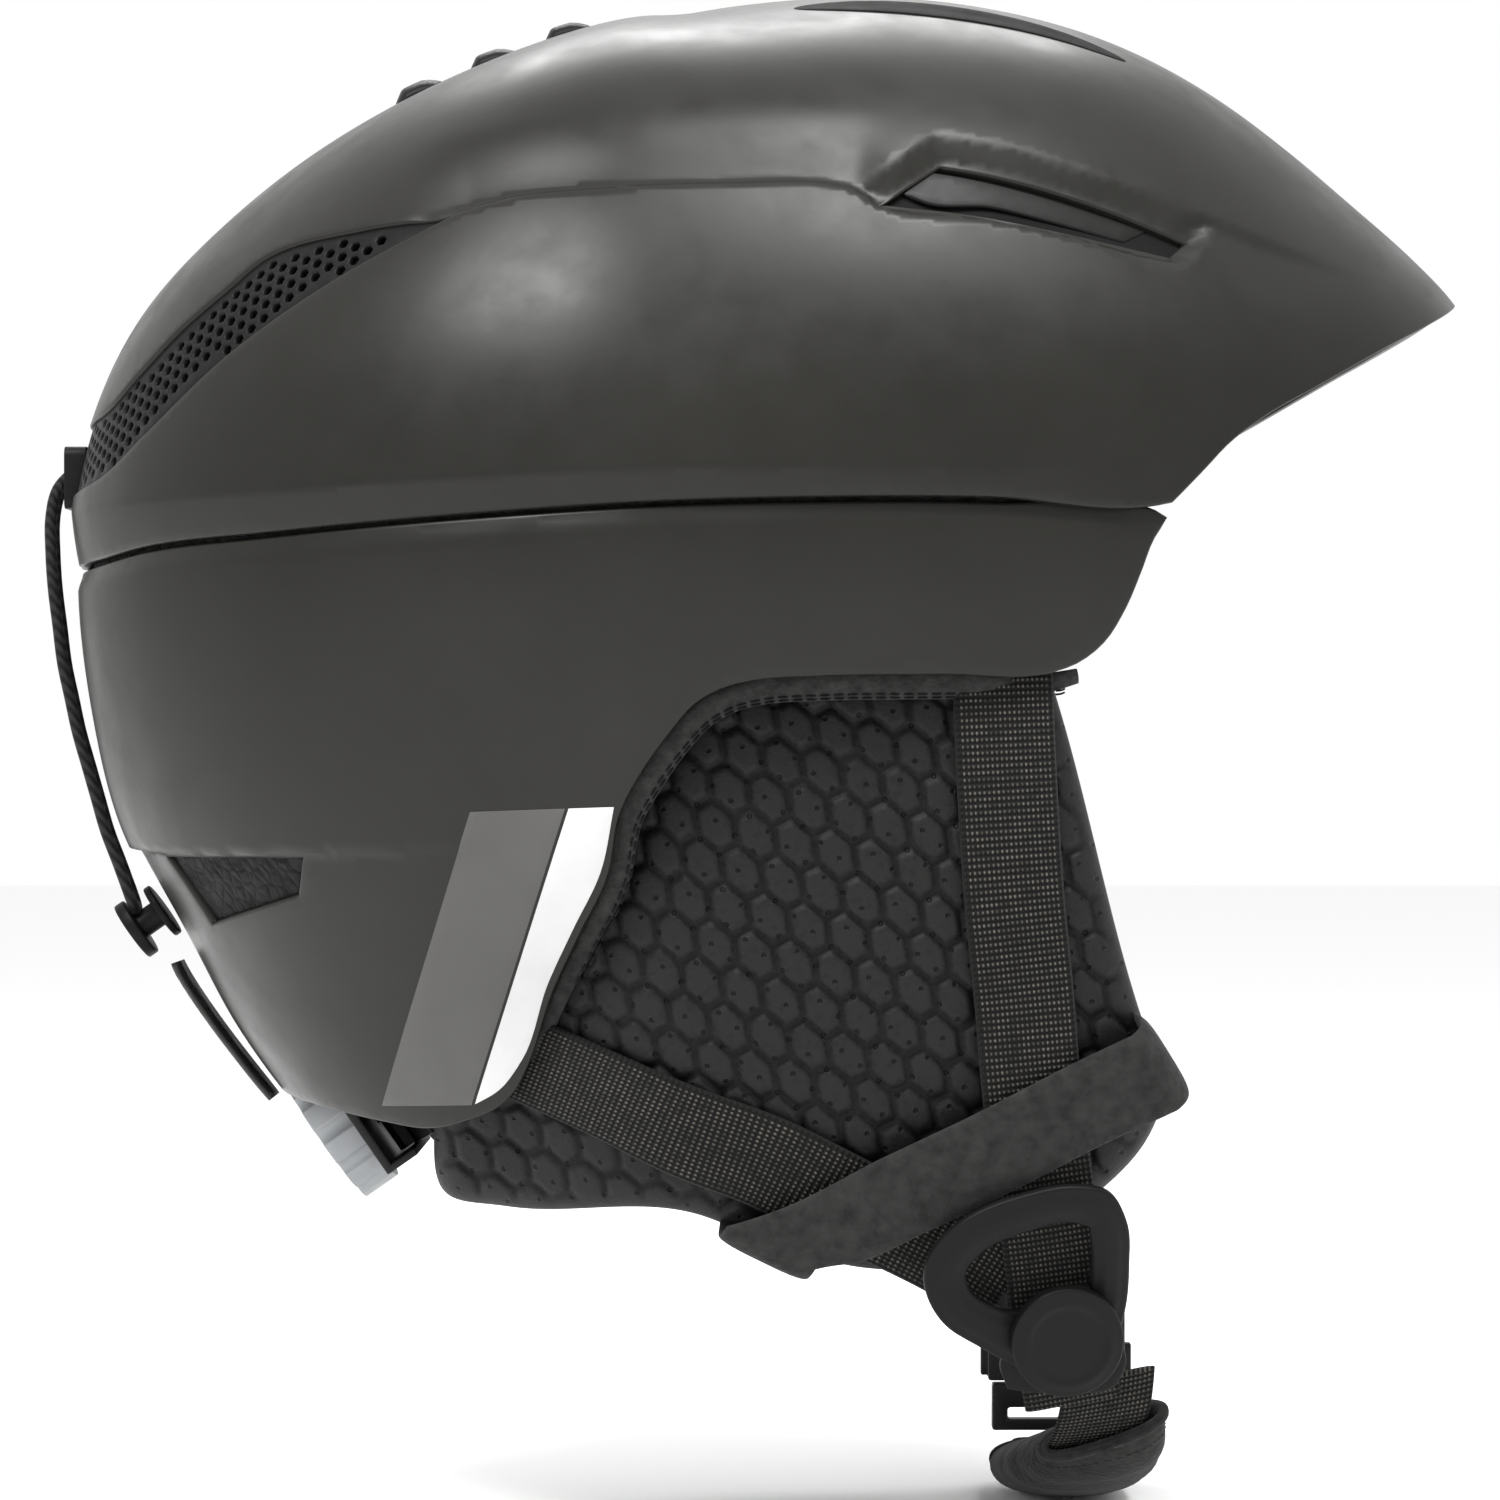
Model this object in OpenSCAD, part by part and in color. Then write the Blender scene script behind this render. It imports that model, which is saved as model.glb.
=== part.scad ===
// Ski helmet: two-piece hard shell over a foam liner, ear pads, chin strap with a
// side-release buckle, a dial-operated fit belt and a goggle retainer at the back.
// +X points to the visor, +Y to the wearer's left, +Z up.
// The origin is the centre of the head cavity.

/* [Overall size] */
// Length from the back of the shell to the tip of the visor
helmet_length = 291; // [245:1:350]
// Width of the shell above the ears
helmet_width = 220; // [185:1:265]
// Height of the shell from its lowest rim to its crown
helmet_height = 236; // [200:1:284]

/* [Shells and foam] */
// Wall of both hard shells
shell_wall = 2.6; // [1.8:0.1:3.4]
// How far the lower shell sits inside the upper one
lower_inset = 2.2; // [1:0.1:3]
// Open groove between the two shells at the belt line
belt_gap = 2.4; // [1:0.1:4]
// Free space between a shell and the foam liner
foam_gap = 0.6; // [0.3:0.1:1.5]
// Depth at which the honeycomb grilles lie under the shell's surface
grille_depth = 0.8; // [0.4:0.1:1.4]
// Wall of the grilles and the vent inserts
grille_wall = 1.8; // [1:0.1:2.4]
// Width across the flats of one honeycomb hole
hex_hole = 4; // [2.5:0.1:6]
// Web between two honeycomb holes
hex_web = 1.4; // [0.8:0.1:3]

/* [Pads] */
// Thickness of the ear pads
ear_pad_t = 14; // [9:0.5:17]
// Thickness of the comfort pads in the head cavity
liner_pad_t = 6; // [3:0.5:9]
// Thickness of the neck pad in front of the dial housing
neck_pad_t = 12; // [8:0.5:15]

/* [Straps] */
// Width of the chin-strap webbing
webbing_w = 20; // [15:0.5:24]
// Thickness of the webbing
webbing_t = 1.6; // [1:0.1:2.2]
// Width of the elastic keeper band
keeper_w = 16; // [12:0.5:20]
// Thickness of the strap divider's ring
divider_t = 3; // [2:0.1:4]
// Diameter of the divider's lock disc
disc_d = 21; // [16:0.5:25]
// Width of the chin pad sleeve
chin_pad_w = 31; // [26:0.5:38]
// Thickness of the chin pad sleeve
chin_pad_t = 9; // [7:0.5:12]

/* [Buckle] */
// Width of the buckle's female half
buckle_w = 30; // [26:0.5:36]
// Thickness of the buckle
buckle_t = 9; // [7.5:0.25:11]
// Height of the female half
buckle_h = 20; // [17:0.5:24]
// Free space around the tongue in its socket
socket_clear = 0.9; // [0.5:0.1:1.2]
// How far each side prong can be pressed in
prong_travel = 2; // [1:0.1:2.4]

/* [Fit system] */
// Diameter of the fit dial over its lobes
dial_d = 32; // [27:0.5:39]
// Thickness of the fit dial
dial_t = 8; // [6:0.5:10]
// Number of grip lobes on the dial
dial_lobes = 12; // [8:1:18]
// Number of teeth on the dial's pinion
pinion_teeth = 10; // [8:1:12]
// Tooth module of the pinion and the belts
tooth_module = 0.8; // [0.6:0.05:1]
// Radius of the shaft between dial and pinion
shaft_r = 2.4; // [1.8:0.1:2.8]
// Running clearance of the shaft in its housing
shaft_clear = 0.06; // [0.02:0.01:0.1]
// Radius of the arc along which the fit belts slide
belt_r = 55; // [50:1:62]
// Thickness of the fit belts
belt_t = 2; // [1.4:0.1:2.6]
// Height of the fit belts
belt_h = 7; // [5:0.5:9]

/* [Goggle retainer] */
// Diameter of the elastic cord
cord_d = 2.5; // [1.8:0.1:3]
// Diameter of the hook's head
hook_d = 13; // [11:0.5:15]
// Width of the pull tab
tab_w = 16; // [12:0.5:20]
// Thickness of the pull tab
tab_t = 2.4; // [1.6:0.1:3]

/* [Hidden] */

// The outlines below are drawn for the standard size and stretched to the chosen one.
kx = helmet_length / 291;
ky = helmet_width / 220;
kz = helmet_height / 236;

// Radius of the shell in its middle plane, against the angle from the visor over the
// crown (90) and the back (180) to the open bottom (270).
PROFILE = [
    [-90, 150], [-70, 156], [-50, 165], [-30, 171], [-10, 174], [5, 176], [17, 175.5],
    [22, 169], [27, 162.5], [32, 157.5], [41, 150], [50, 142.5], [58, 135], [67, 127.5],
    [76, 120.5], [86, 115], [97, 110.5], [108, 108.5], [120, 109], [133, 111.5],
    [143, 114.5], [156, 120], [165, 122], [176, 123.5], [197, 125.5], [207, 128.5],
    [221, 130], [228, 134], [240, 142], [270, 150]
];
// Radius of the shell straight out to the side, against the angle above the middle.
FLANK = [
    [-90, 150], [-60, 137], [-56, 131.5], [-50, 124], [-42, 119], [-34, 116],
    [-24, 112.4], [-10, 109.3], [0, 110], [10, 110.8], [30, 112.4], [46, 114.8],
    [60, 115.8], [75, 114.2], [90, 113]
];
// The same two curves for the head cavity inside the foam.
CAVITY_PROFILE = [
    [-90, 300], [-60, 190], [-35, 124], [0, 101], [45, 97], [90, 92], [135, 97],
    [180, 101], [205, 104], [225, 110], [235, 119], [245, 150], [270, 300]
];
CAVITY_FLANK = [[-90, 300], [-65, 178], [-50, 118], [-30, 94], [0, 82], [45, 86], [90, 92]];

// Side-view outlines, as [x, z].
BELT = [
    [-140, -2], [-117, -0.7], [-106, 1.3], [-78, 3.5], [-52, 5.5], [-29, 7.1], [1, 8.9],
    [32, 9.8], [67, 9.9], [99, 8.5]
];
VISOR_RIM = [
    [101, 7.5], [108, 15.6], [113, 20.8], [120.5, 26.4], [132, 33], [146, 41],
    [157.5, 47.3], [162, 50], [165.5, 53]
];
LOWER_RIM = [
    [100.3, 5.5], [97.7, 1.8], [95, -5], [92, -12], [87.6, -18.8], [82.7, -22.5],
    [77.6, -24.3], [57, -24.6], [32, -25], [20, -25.8], [13.7, -27.3], [8, -30.4],
    [2.7, -36.4], [-3, -44.4], [-7, -52], [-9.6, -64.7], [-15.4, -76.6], [-20.5, -87.4],
    [-26, -103], [-28, -107], [-31.8, -111], [-37.4, -113.6], [-45, -115.8],
    [-56.3, -114.8], [-67.4, -113], [-79, -111], [-140, -111]
];
REAR_WINDOW = [[-102.6, -62.5], [-70.7, -62], [-72, -70.6], [-92, -77]];
GRILLE = [
    [-38.4, 65.4], [-63, 52.6], [-85.8, 37.6], [-103, 23], [-112.8, 15.4], [-124, 12],
    [-124, 26], [-113, 30], [-105.6, 36.6], [-96.3, 45.2], [-86.9, 52.5], [-79, 58.7],
    [-58.4, 63.5]
];
SIDE_VENT = [
    [57.5, 77.3], [44.4, 68.1], [65.5, 65.8], [81.4, 62.9], [104.2, 58.2], [108.5, 62],
    [93.8, 68], [78.4, 73], [65.8, 76]
];
FOAM_EDGE = [
    [-140, -98], [-40, -98], [-33, -90], [-22, -62], [-14, -40], [-4, -24], [10, -16],
    [82, -14], [89, -8], [92, 0], [95, 8], [102, 20], [108, 28], [116, 36], [134, 52]
];
EAR_PAD = [
    [76, -18], [78.6, -26], [96.7, -92], [102, -107], [98.4, -118], [90.5, -127],
    [72, -138], [53.6, -144], [43.7, -144], [21, -138], [9, -133], [-31, -133],
    [-44, -131], [-46, -116], [-43, -101], [-36, -99.5], [-29, -88], [-18, -62],
    [-10.5, -42], [-1, -27], [11, -18.5]
];
DECAL_GREY = [[-36.3, -53], [-17.4, -52.3], [-37.4, -112.6], [-56.3, -113.5]];
DECAL_WHITE = [
    [-16.6, -52.3], [-7.7, -52], [-10.4, -64.7], [-16.2, -76.6], [-21.3, -87.4],
    [-26.8, -103], [-31.8, -109.5], [-36.6, -112.4]
];

// Centre lines of the straps in side view, as [x, z].
FRONT_STRAP = [
    [68, -20], [69, -46], [70.5, -69], [72.6, -89], [74, -105], [76, -120], [79, -140],
    [81, -155], [84, -171]
];
REAR_STRAP = [[-35, -98], [-10, -108], [6, -115], [22, -121], [38, -129], [58, -139], [70, -146]];
KEEPER = [[16, -140], [34, -133], [49, -125.5], [66.5, -117], [83, -108.5], [99.5, -101]];
// Centre line of the chin webbing seen from the front, as [y, z].
CHIN = [[-49, -173], [-40, -180], [-24, -186], [0, -190], [24, -193], [42, -194], [56, -191]];
// Route of one strand of the elastic cord, as [x, z].
CORD = [
    [-122, 19], [-126, 15], [-127.5, 9], [-127.5, 2], [-127, -6], [-126, -14], [-125, -22],
    [-123.5, -29], [-122, -36], [-120, -43], [-118, -50], [-116, -57], [-113.5, -63.5],
    [-111.5, -69]
];

// Steps of the shell surfaces round the side axis and from side to side.
around = 40;
across = 20;
far = 400;

// Depths of the layers under the outer surface of the upper shell.
lower_out = lower_inset;
lower_in = lower_inset + shell_wall;
foam_out = lower_in + foam_gap;
insert_out = shell_wall + 0.3;
insert_in = foam_out - 0.3;
decal_t = 0.25;
decal_gap = 0.05;
part_gap = 0.3;
louvre_w = 38 * ky;
rivet_d = 7;
rivet_slack = 1.2;
stud_d = 8;
stud_sunk = 1.5;

// Straps: how far they lie above the ear pad, where they start and where they end.
strap_lift = [0.5, 0.5 + webbing_t + 0.5];
keeper_lift = strap_lift[1] + webbing_t + 0.5;
keeper_t = 1.6;
ring_lift = keeper_lift + keeper_t + 1.5;
strap_end_gap = 2.4;

// Elastic cord: half the distance between its two strands.
cord_side = 3.6;

// Fit system: the dial's inner face, and the tilt of its axis from straight down.
dial_at = [-64 * kx, 0, -116 * kz];
dial_tilt = -124.8;
pitch_r = pinion_teeth * tooth_module / 2;
belt_depth = 4.5;
housing_t = 8;
housing_w = 52;
housing_h = 2 * (pitch_r + 2 * tooth_module + belt_h) + 3;
tooth_angle = tooth_module * 180 / belt_r;
belt_x = pitch_r + 1.1 * tooth_module;
rack_teeth = 7;
belt_tail = 18;
belt_reach = 50;
cover_gap = 1.2;
cover_angle = 27;
dial_notch = 1.5;
yoke_foot = housing_h / 2 + 0.3;
yoke_low = -housing_t;
yoke_l = 16;
yoke_w = 18;
yoke_t = 1.6;

// Buckle: the middle of the female half's mouth.
buckle_at = [86 * kx, 59.5 * ky, -178 * kz];
socket_w = buckle_w - 6;
tongue_t = buckle_t - 3.6 - 2 * socket_clear;
tongue_h = 13;
prong_w = 4.5;

module shell_color() color([0.21, 0.21, 0.20]) children();
module trim_color() color([0.12, 0.12, 0.12]) children();
module soft_color() color([0.17, 0.17, 0.17]) children();

// Smooth curve through the points of a table, at t.
function slope(tab, i) =
    let (n = len(tab) - 1, a = max(i - 1, 0), b = min(i + 1, n))
    a == i || b == i ? (tab[b][1] - tab[a][1]) / (tab[b][0] - tab[a][0])
    : let (h0 = tab[i][0] - tab[a][0], h1 = tab[b][0] - tab[i][0])
      ((tab[i][1] - tab[a][1]) / h0 * h1 + (tab[b][1] - tab[i][1]) / h1 * h0) / (h0 + h1);
function segment(t, tab) = max([for (i = [0:len(tab) - 2]) if (i == 0 || tab[i][0] <= t) i]);
function smooth(t, tab) =
    let (
        i = segment(t, tab), h = tab[i + 1][0] - tab[i][0], u = (t - tab[i][0]) / h,
        v = u * u, w = v * u
    )
    (2 * w - 3 * v + 1) * tab[i][1] + (w - 2 * v + u) * h * slope(tab, i)
    + (3 * v - 2 * w) * tab[i + 1][1] + (w - v) * h * slope(tab, i + 1);

// Eased step from 0 at t = 0 to 1 at t = 1.
function smoothstep(t) = let (u = min(max(t, 0), 1)) u * u * (3 - 2 * u);

// Distance from the centre to a surface, in the direction of unit vector d.
function reach(d, profile, flank) =
    let (
        flat = norm([d[0], d[1]]), up = atan2(d[2], flat),
        c = flat > 0.000001 ? d[0] / flat : 1,
        s = flat > 0.000001 ? d[1] / flat : 0,
        end = c > 0 ? smooth(up, profile) : smooth(180 - up, profile),
        side = smooth(up, flank)
    )
    1 / sqrt(c * c / (end * end) + s * s / (side * side));
function stretched(p) = [kx * p[0], ky * p[1], kz * p[2]];
// Point of a surface in direction d, sunk by depth towards the centre.
function surface_point(d, depth, profile, flank) =
    let (p = stretched(d * reach(d, profile, flank))) p * (1 - depth / norm(p));
// Half-width of the shell's surface, sunk by depth, at x and z in side view.
function half_width(x, z, depth, low = 0, high = 200, steps = 16) =
    steps == 0 ? (low + high) / 2
    : let (
        y = (low + high) / 2, q = [x / kx, y / ky, z / kz], d = q / norm(q),
        inside = norm([x, y, z]) < norm(surface_point(d, depth, PROFILE, FLANK))
    )
    half_width(x, z, depth, inside ? y : low, inside ? high : y, steps - 1);
// Outer surface of the ear pads, as a distance from the middle plane.
function pad_y(x, z) =
    let (u = x / kx, v = z / kz)
    ky * (99.8 - 0.0026 * pow(v + 50, 2) - 0.003 * pow(max(u - 40, 0), 2)
    - 0.425 * (sqrt(u * u + 196) - u)) - lower_in;

// Faces of a tube of n rings with m points each, the points turning with the path.
function tube_faces(n, m) = [
    [for (j = [0:m - 1]) j],
    [for (j = [m - 1:-1:0]) (n - 1) * m + j],
    for (i = [0:n - 2], j = [0:m - 1]) let (a = i * m + j, b = i * m + (j + 1) % m)
    each [[a, b + m, b], [a, a + m, b + m]]
];
module tube(rings) {
    polyhedron([for (r = rings) each r], tube_faces(len(rings), len(rings[0])), 10);
}
// A closed egg-shaped surface of rings round the side axis.
module egg(depth, profile = PROFILE, flank = FLANK) {
    pole = function (side) surface_point([0, side, 0], depth, profile, flank);
    rings = [for (i = [1:across - 1]) let (g = i * 180 / across)
        for (j = [0:around - 1]) let (a = j * 360 / around)
        surface_point([sin(g) * cos(a), cos(g), sin(g) * sin(a)], depth, profile, flank)];
    last = (across - 2) * around;
    count = len(rings);
    polyhedron(
        concat(rings, [pole(1), pole(-1)]),
        concat(
            [for (i = [0:across - 3], j = [0:around - 1])
                let (a = i * around + j, b = i * around + (j + 1) % around)
                each [[a, b + around, b], [a, a + around, b + around]]],
            [for (j = [0:around - 1]) [count, j, (j + 1) % around]],
            [for (j = [0:around - 1]) [last + j, count + 1, last + (j + 1) % around]]
        ), 10);
}
module layer(outer, inner) {
    difference() {
        egg(outer);
        egg(inner);
    }
}
// A side-view outline, stretched to size and cut from y = from to y = to.
module side_cut(points, from = -far, to = far) {
    translate([0, to, 0])
        rotate([90, 0, 0])
            linear_extrude(to - from)
                scale([kx, kz])
                    polygon(points);
}
module both_sides() {
    children();
    mirror([0, 1, 0]) children();
}
module right() mirror([0, 1, 0]) children();

// Points along a line of points, cut into short steps.
function finer(line, cuts = 3) = [
    for (i = [0:len(line) - 2], k = [0:cuts - 1]) line[i] + (line[i + 1] - line[i]) * k / cuts,
    line[len(line) - 1]
];
function heading(line, i) =
    let (a = line[max(i - 1, 0)], b = line[min(i + 1, len(line) - 1)]) (b - a) / norm(b - a);
// A flat strap that lies on the ear pad's surface, lifted by low(i) at step i of n.
module draped(line, width, thick, lift) {
    path = finer([for (p = line) [p[0] * kx, p[1] * kz]]);
    n = len(path) - 1;
    tube([for (i = [0:n]) let (
        t = heading(path, i), w = [t[1], -t[0]] * width / 2, a = path[i] - w, b = path[i] + w,
        low = lift[0] + (lift[1] - lift[0]) * smoothstep((i / n - 0.4) / 0.2)
    ) [
        [a[0], pad_y(a[0], a[1]) + low, a[1]],
        [b[0], pad_y(b[0], b[1]) + low, b[1]],
        [b[0], pad_y(b[0], b[1]) + low + thick, b[1]],
        [a[0], pad_y(a[0], a[1]) + low + thick, a[1]]
    ]]);
}

// ---------------------------------------------------------------- shells and foam
module upper_outline() {
    side_cut(concat(BELT, VISOR_RIM, [[220, 60], [220, 200], [-220, 200], [-220, -2]]));
}
module upper_shell() {
    shell_color() difference() {
        intersection() {
            layer(0, shell_wall);
            upper_outline();
        }
        both_sides() side_cut(GRILLE, 12, far);
        both_sides() side_cut(SIDE_VENT, 40, far);
        top_vent_cut(0);
        at_clip() clip_body(part_gap, 3 * shell_wall);
    }
}
module lower_shell() {
    groove = belt_gap / kz;
    top = [for (p = BELT) [p[0], p[1] - groove]];
    shell_color() difference() {
        intersection() {
            layer(lower_out, lower_in);
            side_cut(concat(top, LOWER_RIM));
        }
        both_sides() side_cut(REAR_WINDOW, 20, far);
        at_dial() translate([0, 0, -1]) cylinder(h = 40, r = dial_d / 2 + dial_notch);
    }
}
module eps_liner() {
    color([0.10, 0.10, 0.10]) difference() {
        intersection() {
            egg(foam_out);
            side_cut(concat(FOAM_EDGE, [[134, 160], [-140, 160]]));
        }
        egg(0, CAVITY_PROFILE, CAVITY_FLANK);
        brow_arch();
        top_vent_cut(4);
        both_sides() translate([78 * kx, 0, 64 * kz]) cube([30, far, 9], center = true);
        both_sides() translate([-78 * kx, 100 * ky, 44 * kz])
            rotate([0, -40, 0]) cube([40, 120 * ky, 12], center = true);
        at_dial() translate([0, -yoke_w / 2 - part_gap, yoke_low - 1])
            cube([yoke_foot + yoke_l + part_gap, yoke_w + 2 * part_gap, yoke_t + 2]);
    }
}
// The face opening's upper edge, an arch that rises towards the middle of the brow.
module brow_arch() {
    translate([60 * kx, 0, 0]) rotate([90, 0, 90]) linear_extrude(200)
        polygon([for (a = [0:10:350]) [70 * ky * cos(a), 31 * kz * sin(a)]]);
}
// Slot through the top of the shell, narrower by margin all round.
module top_vent_cut(margin) {
    translate([(-46 + margin) * kx, (-17 + margin) * ky, 60 * kz])
        cube([(32 - 2 * margin) * kx, (34 - 2 * margin) * ky, 100 * kz]);
}
module hex_web_pattern(outline) {
    pitch = hex_hole + hex_web;
    row = pitch * sqrt(3) / 2;
    difference() {
        offset(delta = -part_gap) scale([kx, kz]) polygon(outline);
        intersection() {
            offset(delta = -2.2) scale([kx, kz]) polygon(outline);
            for (i = [-22:-5], j = [1:17])
                translate([(i + (j % 2) / 2) * pitch, j * row])
                    rotate(30) circle(hex_hole / sqrt(3), $fn = 6);
        }
    }
}
module grille() {
    trim_color() intersection() {
        layer(grille_depth, grille_depth + grille_wall);
        translate([0, far + 12, 0]) rotate([90, 0, 0]) linear_extrude(far - part_gap)
            hex_web_pattern(GRILLE);
    }
}
module grille_left() grille();
module grille_right() right() grille();

module top_vent_mesh() {
    bar = 1.2;
    step = 3.6;
    trim_color() intersection() {
        layer(shell_wall - grille_wall, shell_wall);
        translate([(-46 * kx) + part_gap, (-17 * ky) + part_gap, 60])
            cube([32 * kx - 2 * part_gap, 34 * ky - 2 * part_gap, far]);
        union() {
            for (y = [-17 * ky:step:17 * ky]) translate([-100, y, 60]) cube([200, bar, far]);
            for (x = [-46 * kx:step:-12 * kx]) translate([x, -100, 60]) cube([bar, 200, far]);
        }
    }
}
// Three low louvres that stand over the top vent, each steep at the back.
module top_vent_louvres() {
    back = 1.5;
    crest = 5;
    depth = 10;
    height = 3;
    trim_color() difference() {
        for (k = [0:2]) {
            x = (-55 + 15.5 * k) * kx;
            translate([x, louvre_w / 2, 0]) rotate([90, 0, 0]) linear_extrude(louvre_w)
                polygon([
                    [0, crown_z(x) - 2], [0, crown_z(x) + 0.5], [back, crown_z(x + back) + height],
                    [back + crest, crown_z(x + back + crest) + height],
                    [depth, crown_z(x + depth) + 0.6], [depth, crown_z(x + depth) - 2]
                ]);
        }
        egg(-0.2);
    }
}
// Height of the shell's crown line at x.
function crown_z(x, low = 0, high = 200, steps = 16) =
    steps == 0 ? (low + high) / 2
    : let (z = (low + high) / 2, q = [x / kx, 0, z / kz], d = q / norm(q),
        inside = norm([x, 0, z]) < norm(surface_point(d, 0, PROFILE, FLANK)))
    crown_z(x, inside ? z : low, inside ? high : z, steps - 1);

module vent_insert() {
    trim_color() intersection() {
        layer(insert_out, insert_in);
        translate([0, far, 0]) rotate([90, 0, 0]) linear_extrude(far - 30)
            offset(delta = 2.5) scale([kx, kz]) polygon(SIDE_VENT);
        translate([0, 0, 65 * kz]) cube([far, far, 13 * kz], center = true);
    }
}
module vent_insert_left() vent_insert();
module vent_insert_right() right() vent_insert();

module decal(outline) {
    intersection() {
        layer(lower_out - decal_t - decal_gap, lower_out - decal_gap);
        union() {
            side_cut(outline, 5, far);
            side_cut(outline, -far, -5);
        }
    }
}
module decal_grey() color([0.37, 0.37, 0.36]) decal(DECAL_GREY);
module decal_white() color([0.87, 0.87, 0.87]) decal(DECAL_WHITE);

// Each rivet stands square on the strap that it holds, up to the lower shell above it.
module strap_rivet(x, z, turn, lean) {
    low = strap_lift[0] + webbing_t + part_gap;
    free = (half_width(x, z, lower_in) - pad_y(x, z)) * cos(turn) * cos(lean) - rivet_slack;
    translate([x, pad_y(x, z), z]) rotate([lean - 90, 0, turn])
        translate([0, 0, low]) cylinder(h = free - low, d = rivet_d, $fn = 32);
}
module strap_rivets() color([0.6, 0.6, 0.62]) both_sides() {
    strap_rivet(-34 * kx, -99.5 * kz, 39, -11);
    strap_rivet(68 * kx, -21 * kz, -9, 8);
}

// ---------------------------------------------------------------- goggle retainer
// Moulded clip in the back of the upper shell, from which both strands of the cord leave.
module at_clip() {
    translate([-surface_rear(17 * kz) - 1.2, 0, 17 * kz]) children();
}
module clip_body(grow, deep) {
    hull() for (y = [-6.5, 6.5], z = [-4.5, 4.5])
        translate([-1.2, y, z]) rotate([0, 90, 0]) cylinder(h = deep, r = 2 + grow, $fn = 32);
}
module goggle_clip() {
    trim_color() difference() {
        at_clip() clip_body(0, 4.6);
        both_sides() round_tube([for (i = [0:3]) strand_point(i, 1)], cord_d / 2 + part_gap, 12);
    }
}
// Point i of the cord's strand on one side.
function strand_point(i, side) = [CORD[i][0] * kx, side * cord_side, CORD[i][1] * kz];
// How far back the shell's middle line lies at height z.
function surface_rear(z, depth = 0, low = 0, high = 220, steps = 16) =
    steps == 0 ? (low + high) / 2
    : let (x = (low + high) / 2, q = [-x / kx, 0, z / kz], d = q / norm(q),
        inside = norm([x, 0, z]) < norm(surface_point(d, depth, PROFILE, FLANK)))
    surface_rear(z, depth, inside ? x : low, inside ? high : x, steps - 1);

// Ring of a round tube at p, square to direction t.
function ring(p, t, r, sides) =
    let (u = cross(t, abs(t[1]) < 0.9 ? [0, 1, 0] : [0, 0, 1]), a = u / norm(u), b = cross(t, a))
    [for (j = [0:sides - 1]) let (g = j * 360 / sides) p + r * (a * cos(g) + b * sin(g))];
module round_tube(path, r, sides) {
    tube([for (i = [0:len(path) - 1]) ring(path[i], heading(path, i), r, sides)]);
}
hook_at = [-surface_rear(-73 * kz, lower_out), 0, -73 * kz];
hook_dir = hook_at / norm(hook_at);
hook_tilt = atan2(hook_dir[0], hook_dir[2]);
module retainer_cord() {
    down = [for (i = [0:len(CORD) - 1]) strand_point(i, 1)];
    up = [for (i = [len(CORD) - 1:-1:0]) strand_point(i, -1)];
    bend = hook_at + hook_dir * 4.2;
    turn = [for (a = [0:30:180]) let (r = 4.6)
        bend + r * (cos(a) * [0, 1, 0] + sin(a) * [-hook_dir[2], 0, hook_dir[0]] * -1)];
    trim_color() round_tube(concat(down, turn, up), cord_d / 2, 8);
}
module retainer_hook() {
    trim_color() translate(hook_at) rotate([0, hook_tilt, 0]) {
        translate([0, 0, part_gap]) cylinder(h = 1.6, d = hook_d - 1);
        translate([0, 0, part_gap]) cylinder(h = 7.6, r = 2.8);
        translate([0, 0, 6.6]) cylinder(h = 2.4, d = hook_d);
    }
}
module retainer_tab() {
    outer = [for (a = [0:5]) let (z = -84 - 5.8 * a)
        [-surface_rear(z * kz, lower_out) - 6.2 + 0.3 * a, z * kz]];
    inner = [for (a = [5:-1:0]) outer[a] + [tab_t, 0]];
    soft_color() translate([0, tab_w / 2, 0]) rotate([90, 0, 0])
        linear_extrude(tab_w) polygon(concat(outer, inner));
}

// ---------------------------------------------------------------- pads
module cavity_layer() {
    difference() {
        egg(0.4, CAVITY_PROFILE, CAVITY_FLANK);
        egg(0.4 + liner_pad_t, CAVITY_PROFILE, CAVITY_FLANK);
    }
}
module crown_pad() {
    soft_color() intersection() {
        cavity_layer();
        translate([0, 0, 40 * kz]) scale([kx, ky]) linear_extrude(100 * kz)
            polygon([for (a = [0:15:345]) [5 + 62 * cos(a), 40 * sin(a)]]);
    }
}
module brow_pad() {
    soft_color() intersection() {
        cavity_layer();
        translate([60 * kx, -60 * ky, 33 * kz]) cube([60 * kx, 120 * ky, 26 * kz]);
    }
}
module side_pad() {
    soft_color() intersection() {
        cavity_layer();
        side_cut([[-40, 4], [52, 4], [46, 34], [-34, 34]], 30, far);
    }
}
module side_pad_left() side_pad();
module side_pad_right() right() side_pad();

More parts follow.
